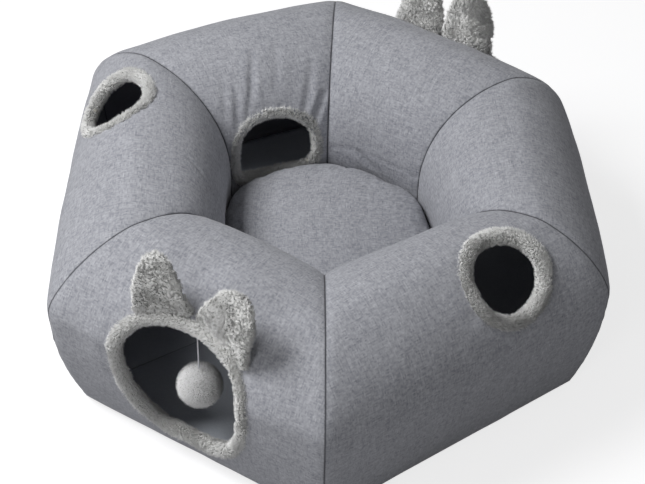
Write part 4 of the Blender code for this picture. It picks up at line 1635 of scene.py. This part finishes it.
@dataclass(frozen=True)
class Cushion:
    """The domed lift-out cushion that fills the well.

    Attributes:
        ring: the ring's form.
        clearance: between its side and the well's wall.
        waves: how many waves round its outline are kept, so its corners are softer than the well's.
        crown_height: its middle above the tube's floor.
        dome_curve: how fast its top falls away, in metres for each square metre of the distance squared.
        rim_round: the rounding between its top and its side, as (inwards, down).
        foot_round: the same at its underside.
        swell: the most that a point of it may move.
        contact: how far it presses past the clearance, to the walls.
        voxel: the spacing of its even skin.
        rim_height: where the wall is measured for the rim.
        bulge: how far its side may stand out past the rim.
        columns: points round it.
        pressure, stiffness, frames: of the cloth simulation.
        seam_height, seam_pull: where the seam round it lies, and how far it draws the cloth in.
        seam_reach, seam_line: how far from the seam that reaches, and half of the dark line's width.
        dent, dents_from: how far its top is uneven, and from which height up.
        filling_depth: how far the filling's skin lies under the cover's.
    """

    ring: RingForm
    clearance: float = 0.004
    waves: int = 7
    crown_height: float = 0.170
    dome_curve: float = 1.4
    rim_round: tuple[float, float] = (0.026, 0.020)
    foot_round: tuple[float, float] = (0.030, 0.035)
    swell: float = 6.0 * MM
    contact: float = 2.5 * MM
    voxel: float = 5.0 * MM
    rim_height: float = 0.13
    bulge: float = 0.012
    columns: int = 96
    pressure: float = 4.0
    stiffness: float = 12.0
    frames: int = 20
    seam_height: float = 0.062
    seam_pull: float = 4.0 * MM
    seam_reach: float = 7.0 * MM
    seam_line: float = 2.2 * MM
    dent: float = 1.0 * MM
    dents_from: float = 0.09
    filling_depth: float = 2.5 * MM

    @cached_property
    def wall(self) -> tuple[Array, Array, Array, Array]:
        """The well's wall round the cushion: its middle, the heights, the directions and the reach at each.

        Each height's reach keeps only its slowest waves, and stands at most 1 mm past the clearance.
        """
        along = np.linspace(0, 1, 60, endpoint=False)
        place = self.ring.place_along
        section_w = np.linspace(self.ring.neck_at, self.ring.length, 24)
        sides = [[place(side, along, w, -self.clearance) for side in range(SIDES)] for w in section_w]
        lines = np.array([np.concatenate(row) for row in sides])
        centre = lines[0, :, :2].mean(axis=0)
        angles = np.linspace(-math.pi, math.pi, 360, endpoint=False)
        reaches = []
        for offset in lines[..., :2] - centre:
            own = np.arctan2(offset[:, 1], offset[:, 0])
            order = np.argsort(own)
            reach = np.interp(angles, own[order], np.hypot(*offset.T)[order], period=2 * math.pi)
            waves = np.fft.rfft(reach)
            waves[self.waves + 1 :] = 0
            reaches.append(np.minimum(np.fft.irfft(waves, len(reach)), reach + 1.0 * MM))
        heights = lines[::-1, 0, 2]
        even = np.linspace(heights[0], heights[-1], 30)
        reach = np.stack([np.interp(even, heights, column[::-1]) for column in np.array(reaches).T], axis=1)
        return centre, even, angles, reach

    def reach(self, angle: Array, height: Array) -> Array:
        """How far the wall stands from the middle, in this direction and at this height."""
        _, heights, angles, reach = self.wall
        turn = np.mod((angle + math.pi) / (angles[1] - angles[0]), len(angles))
        rise = np.clip((height - heights[0]) / (heights[1] - heights[0]), 0, len(heights) - 1.001)
        i, j = np.floor(rise).astype(int), np.floor(turn).astype(int) % len(angles)
        s, t, k = rise - i, turn - np.floor(turn), (j + 1) % len(angles)
        low = (1 - t) * reach[i, j] + t * reach[i, k]
        high = (1 - t) * reach[i + 1, j] + t * reach[i + 1, k]
        return (1 - s) * low + s * high

    def pad(self) -> Shell:
        """The pad before it swells: a dome, a round rim, a side that follows the wall and a round foot.

        The dome's height is crown - curve * distance^2. The rim and the foot are quarters of an ellipse,
        (a sin q, b (1 - cos q)).
        """
        centre, low = self.wall[0], self.ring.tube_floor
        (rim_in, rim_down), (foot_in, foot_up) = self.rim_round, self.foot_round
        turn = np.linspace(-math.pi, math.pi, self.columns, endpoint=False)[None, :]
        share = np.linspace(0.04, 1, 14)[:, None]
        quarter = np.linspace(0, math.pi / 2, 7)[1:, None]
        rim = self.reach(turn, np.full(turn.shape, self.rim_height))
        dome_reach = share * (rim - rim_in)
        dome_height = low + self.crown_height - self.dome_curve * dome_reach**2
        rim_reach = rim - rim_in + rim_in * np.sin(quarter)
        rim_height = dome_height[-1:] - rim_down * (1 - np.cos(quarter))
        down = np.linspace(0, 1, 10)[1:, None]
        side_height = (1 - down) * rim_height[-1:] + down * (low + foot_up)
        side_reach = np.minimum(self.reach(turn, side_height), rim + self.bulge)
        foot_reach = side_reach[-1:] - foot_in * (1 - np.cos(quarter))
        foot_height = np.broadcast_to(low + foot_up * (1 - np.sin(quarter)), foot_reach.shape)
        base_reach = share[::-1][1:] * foot_reach[-1:]
        base_height = np.full(base_reach.shape, low)
        reach = np.concatenate([dome_reach, rim_reach, side_reach, foot_reach, base_reach])
        height = np.concatenate([dome_height, rim_height, side_height, foot_height, base_height])
        x, y = centre[0] + reach * np.cos(turn), centre[1] + reach * np.sin(turn)
        top, bottom = np.array([*centre, low + self.crown_height]), np.array([*centre, low])
        return capped(np.stack([x, y, height], axis=-1), top, bottom)

    def remeshed(self, piece: bpy.types.Object) -> tuple[Array, Array]:
        """The piece's skin as even quads of one voxel, as its points and faces."""
        modifier = piece.modifiers.new("even_skin", "REMESH")
        modifier.mode = "VOXEL"
        modifier.voxel_size = self.voxel
        graph = bpy.context.evaluated_depsgraph_get()
        mesh = bpy.data.meshes.new_from_object(piece.evaluated_get(graph))
        points, faces = points_of(mesh), np.empty(len(mesh.polygons) * 4, np.int32)
        mesh.polygons.foreach_get("vertices", faces)
        bpy.data.meshes.remove(mesh)
        bpy.data.objects.remove(piece)
        return points, faces.reshape(-1, 4)

    def inflated(self, piece: bpy.types.Object) -> Array:
        """Where cloth of this shape goes when the filling presses it out, with no weight of its own."""
        modifier = piece.modifiers.new("filling", "CLOTH")
        settings = modifier.settings
        settings.use_pressure = True
        settings.uniform_pressure_force = self.pressure
        settings.tension_stiffness = settings.compression_stiffness = self.stiffness
        settings.bending_stiffness = 1.0
        settings.effector_weights.gravity = 0.0
        modifier.point_cache.frame_start, modifier.point_cache.frame_end = 1, self.frames
        for step in range(1, self.frames + 1):
            bpy.context.scene.frame_set(step)
        graph = bpy.context.evaluated_depsgraph_get()
        points = points_of(piece.evaluated_get(graph).to_mesh())
        piece.modifiers.remove(modifier)
        bpy.context.scene.frame_set(1)
        return points

    def settled(self, start: Array, swollen: Array) -> Array:
        """The swollen skin, held by what is round it.

        A point moves by no more than the cap. It stays over the bottom cloth and inside the well's wall, and
        it is drawn in along the seam by a bell of its height over the seam.
        """
        move = swollen - start
        length = np.linalg.norm(move, axis=-1, keepdims=True)
        points = start + move * np.minimum(1.0, self.swell / np.maximum(length, 1e-9))
        centre = self.wall[0]
        offset = points[:, :2] - centre
        angle = np.arctan2(offset[:, 1], offset[:, 0])
        limit = self.reach(angle, points[:, 2])
        distance = np.hypot(*offset.T)
        gather = 1 + 0.5 * slow_noise(angle * 0.14, angle * 0, 0.012, SEAM_GATHERS)
        pull = self.seam_pull * gather * bell(points[:, 2] - self.seam_height, self.seam_reach)
        side = fade((distance / limit - 0.8) / 0.15)
        held = np.minimum(distance, limit + self.contact) - pull * side
        points[:, :2] = centre + offset * (held / np.maximum(distance, 1e-9))[:, None]
        x, y = points[:, 0], points[:, 1]
        dents = slow_noise(x, y, 0.07, DENTS) + 0.4 * slow_noise(x, y, 0.03, SMALL_DENTS)
        points[:, 2] += self.dent * dents * fade((points[:, 2] - self.dents_from) / 0.03)
        points[:, 2] = np.maximum(points[:, 2], self.ring.tube_floor)
        return points

    def filling(self, points: Array, faces: Array) -> Shell:
        """The filling's form: the cover's skin, moved in along its normals by the cloth and a little room."""
        a, b, c, d = np.moveaxis(points[faces], 1, 0)
        normal = np.cross(c - a, d - b)
        total = np.zeros_like(points)
        for k in range(4):
            np.add.at(total, faces[:, k], normal)
        middle = points.mean(axis=0)
        total *= np.sign(np.sum(total * (points - middle), axis=-1).mean())
        return Shell(points - self.filling_depth * unit(total), [faces]).outward()

    def build(self) -> None:
        """Makes the cushion's cover, remeshed, swollen as cloth and seamed, and the filling inside it."""
        linen = CUSHION_LINEN.make()
        points, faces = self.remeshed(make_piece("cushion_start", self.pad(), linen))
        draft = make_piece("cushion_draft", Shell(points, [faces]), linen)
        swollen = self.inflated(draft)
        bpy.data.objects.remove(draft)
        points = self.settled(points, swollen)
        seam = bell(points[:, 2] - self.seam_height, self.seam_line)
        piece = make_piece("cushion_linen_cover", Shell(points, [faces], {"seam": seam}).outward(), linen)
        smooth = piece.modifiers.new("smooth", "SUBSURF")
        smooth.levels = smooth.render_levels = 1
        install(piece, "cushion", "linen_cover", "cushion_cover")
        stuffing = make_piece("cushion_fibre_filling", self.filling(points, faces), FILLING.make())
        install(stuffing, "cushion", "fibre_filling", "cushion_filling")


# ---------------------------------------------------------------- the piece that stays a CAD node


def dress_zip() -> None:
    """Gives the cushion's zip, which stays a CAD node, its own finish."""
    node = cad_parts["cushion_zip"]
    node.data.materials.clear()
    node.data.materials.append(ZIP_TAPE.make())


# ---------------------------------------------------------------- studio


@dataclass(frozen=True)
class Studio:
    """A white studio: a pale floor, a softbox up on the left, a weak one to the front and the camera.

    Attributes:
        azimuth_deg, elevation_deg, roll_deg: the camera's direction from the target, and its roll.
        target: what it looks at.
        distance: from the target.
        lens: focal length in millimetres on a 36 mm sensor.
        shift: the frame's small shift across and up.
        ambient: the world's light on the object.
        softboxes: each one's name, place, size in metres and power in watts.
        lit: what the softboxes face.
        paper: the floor's own colour.
        paper_lift: what the camera sees added to it.
        paper_reach: how far the floor goes each way.
    """

    azimuth_deg: float = -0.3304
    elevation_deg: float = 44.2728
    roll_deg: float = 1.0616
    target: tuple[float, float, float] = (-0.01176, 0.00875, 0.104)
    distance: float = 2.7697
    lens: float = 102.83
    shift: tuple[float, float] = (0.00113, 0.00958)
    ambient: float = 0.19
    softboxes: tuple[tuple[str, tuple[float, float, float], float, float], ...] = (
        ("key_softbox", (-1.67, -0.14, 2.50), 1.2, 64.0),
        ("front_softbox", (-1.05, -2.18, 1.05), 0.8, 10.0),
    )
    lit: tuple[float, float, float] = (0.0, 0.0, 0.15)
    paper: tuple[float, float, float, float] = (0.40, 0.40, 0.41, 1.0)
    paper_lift: float = 0.74
    paper_reach: float = 30.0

    def aim(self, item: bpy.types.Object, place: Array, target: Array, roll: float = 0.0) -> None:
        """Puts a camera or lamp at a place, looking at the target.

        Its right is up crossed with its back, and both turn by the roll.
        """
        back = unit(place - target)
        right = unit(np.cross([0.0, 0.0, 1.0], back))
        up = np.cross(back, right)
        rolled = math.cos(roll) * right + math.sin(roll) * up
        matrix = np.eye(4)
        matrix[:3] = np.stack([rolled, np.cross(back, rolled), back, place], axis=-1)
        item.matrix_world = Matrix(matrix.tolist())

    def add_camera(self) -> None:
        """The camera at the photograph's own angle."""
        azimuth, elevation = math.radians(self.azimuth_deg), math.radians(self.elevation_deg)
        level = math.cos(elevation)
        back = np.array([math.sin(azimuth) * level, -math.cos(azimuth) * level, math.sin(elevation)])
        data = bpy.data.cameras.new("camera")
        data.sensor_width = 36.0
        data.sensor_fit = "HORIZONTAL"
        data.lens = self.lens
        data.shift_x, data.shift_y = self.shift
        data.clip_end = 50.0
        camera = add_object("camera", data)
        target = np.array(self.target)
        self.aim(camera, target + self.distance * back, target, math.radians(self.roll_deg))
        bpy.context.scene.camera = camera

    def add_softboxes(self) -> None:
        """The square softboxes that face the object."""
        for name, place, size, power in self.softboxes:
            data = bpy.data.lights.new(name, "AREA")
            data.shape = "SQUARE"
            data.size = size
            data.energy = power
            self.aim(add_object(name, data), np.array(place), np.array(self.lit))

    def add_world(self) -> None:
        """A world that is white to the camera, in gloss and through glass, and dimmer to the object."""
        world = bpy.data.worlds.new("studio_world")
        bpy.context.scene.world = world
        world.use_nodes = True
        tree = world.node_tree
        tree.nodes.clear()
        rays = add_node(tree, "ShaderNodeLightPath").outputs
        seen = rays["Is Camera Ray"]
        for kind in ("Is Glossy Ray", "Is Transmission Ray"):
            seen = add_node(tree, "ShaderNodeMath", {0: seen, 1: rays[kind]}, operation="MAXIMUM").outputs[0]
        parts = {"Value": seen, "To Min": self.ambient, "To Max": 1.0}
        strength = add_node(tree, "ShaderNodeMapRange", parts).outputs["Result"]
        light = add_node(tree, "ShaderNodeBackground", {"Color": WHITE, "Strength": strength})
        add_node(tree, "ShaderNodeOutputWorld", {"Surface": light.outputs[0]})

    def add_floor(self) -> None:
        """A pale floor that reads white to the camera and keeps the object's soft shadow."""
        material = bpy.data.materials.new("studio_paper")
        material.use_nodes = True
        tree = material.node_tree
        tree.nodes.clear()
        paper = add_node(tree, "ShaderNodeBsdfDiffuse", {"Color": self.paper}).outputs[0]
        parts = {0: add_node(tree, "ShaderNodeLightPath").outputs["Is Camera Ray"], 1: self.paper_lift}
        lift = add_node(tree, "ShaderNodeMath", parts, operation="MULTIPLY").outputs[0]
        glow = add_node(tree, "ShaderNodeEmission", {"Color": WHITE, "Strength": lift}).outputs[0]
        both = add_node(tree, "ShaderNodeAddShader", {0: paper, 1: glow}).outputs[0]
        add_node(tree, "ShaderNodeOutputMaterial", {"Surface": both})
        corners = self.paper_reach * np.array([[-1.0, -1, 0], [1, -1, 0], [1, 1, 0], [-1, 1, 0]])
        floor = make_piece("studio_floor", Shell(corners, [np.array([[0, 1, 2, 3]])]), material)

    def build(self) -> None:
        """Sets up the whole studio."""
        self.add_world()
        self.add_floor()
        self.add_softboxes()
        self.add_camera()
        bpy.context.scene.view_settings.view_transform = "Standard"


# ---------------------------------------------------------------- the whole scene

# The folds that show: the pleats over the door into the well, the hem and the loose cloth under it beside
# that door, and two short folds at the well's edge
CREASES = (
    Crease("back_left", (0.002, 0.400), (0.045, 0.500), 3.0 * MM, 5.0 * MM, 0.8),
    Crease("back_left", (-0.040, 0.395), (-0.004, 0.475), 1.2 * MM, 7.0 * MM, 0.6),
    Crease("back_left", (-0.083, 0.430), (-0.040, 0.520), 2.0 * MM, 6.0 * MM, 0.8),
    Crease("back_left", (-0.088, 0.478), (-0.050, 0.535), 4.0 * MM, 5.5 * MM, 1.0),
    Crease("back_left", (0.048, 0.450), (0.062, 0.515), 2.0 * MM, 5.5 * MM, 0.8),
    Crease("back_left", (0.062, 0.430), (0.079, 0.500), 1.2 * MM, 5.0 * MM, 0.7),
    Crease("back_left", (0.020, 0.430), (0.028, 0.500), 1.6 * MM, 4.5 * MM, 0.8),
    Crease("back_right", (0.070, 0.5655), (0.014, 0.561), 1.8 * MM, 2.6 * MM, 0.9),
    Crease("back_right", (0.026, 0.5605), (-0.082, 0.571), 1.8 * MM, 2.6 * MM, 0.9),
    Crease("back_right", (0.030, 0.560), (-0.004, 0.592), 3.0 * MM, 6.0 * MM, 0.9),
    Crease("left", (0.029, 0.428), (0.060, 0.492), 2.2 * MM, 3.2 * MM, 0.9),
    Crease("front_left", (-0.072, 0.399), (-0.012, 0.383), 1.5 * MM, 5.0 * MM, 0.7),
)


def main() -> None:
    """Builds the tunnel's pieces in order, then the studio."""
    logging.basicConfig(level=logging.INFO, format="%(message)s")
    ring = RingForm()
    openings = make_openings(ring)
    dress_zip()
    BottomCloth(ring).build()
    CoverCloth(ring, openings, CREASES).build()
    PaddingSheets(ring, openings).build()
    LiningCloth(ring, openings).build()
    plush = PLUSH.make()
    for name, tufts, seed, pile_length, stuffing in (
        ("front_door", 44000, 100, 6.5 * MM, 0.0),
        ("rear_door", 44000, 110, 6.5 * MM, 0.0),
        ("inner_door", 30000, 120, 8.0 * MM, 3.5 * MM),
        ("left_peephole", 26000, 130, 6.5 * MM, 1.0 * MM),
        ("right_peephole", 30000, 140, 6.5 * MM, 2.5 * MM),
    ):
        PlushRoll(ring, openings[name], tufts, seed, pile_length, stuffing).build(plush)
    for door_name, ear_name, mirror, splay_deg, seed, span_deg, taper, tip in (
        ("front_door", "left", -1, 0.0, 200, (45.0, 89.6), 0.50, 7.0),
        ("front_door", "right", 1, 20.0, 210, (38.0, 89.6), 0.38, 7.0),
        ("rear_door", "left", -1, -1.0, 220, (50.0, 89.6), 0.20, 3.0),
        ("rear_door", "right", 1, 0.0, 230, (45.0, 89.6), 0.20, 3.0),
    ):
        name = f"{door_name}_ear_{ear_name}"
        ear = PlushEar(ring, openings[door_name], name, mirror, splay_deg, seed, span_deg, taper, tip)
        ear.build(plush)
    Toy(ring, openings["front_door"]).build()
    Cushion(ring).build()
    Studio().build()


if __name__ == "__main__":
    main()
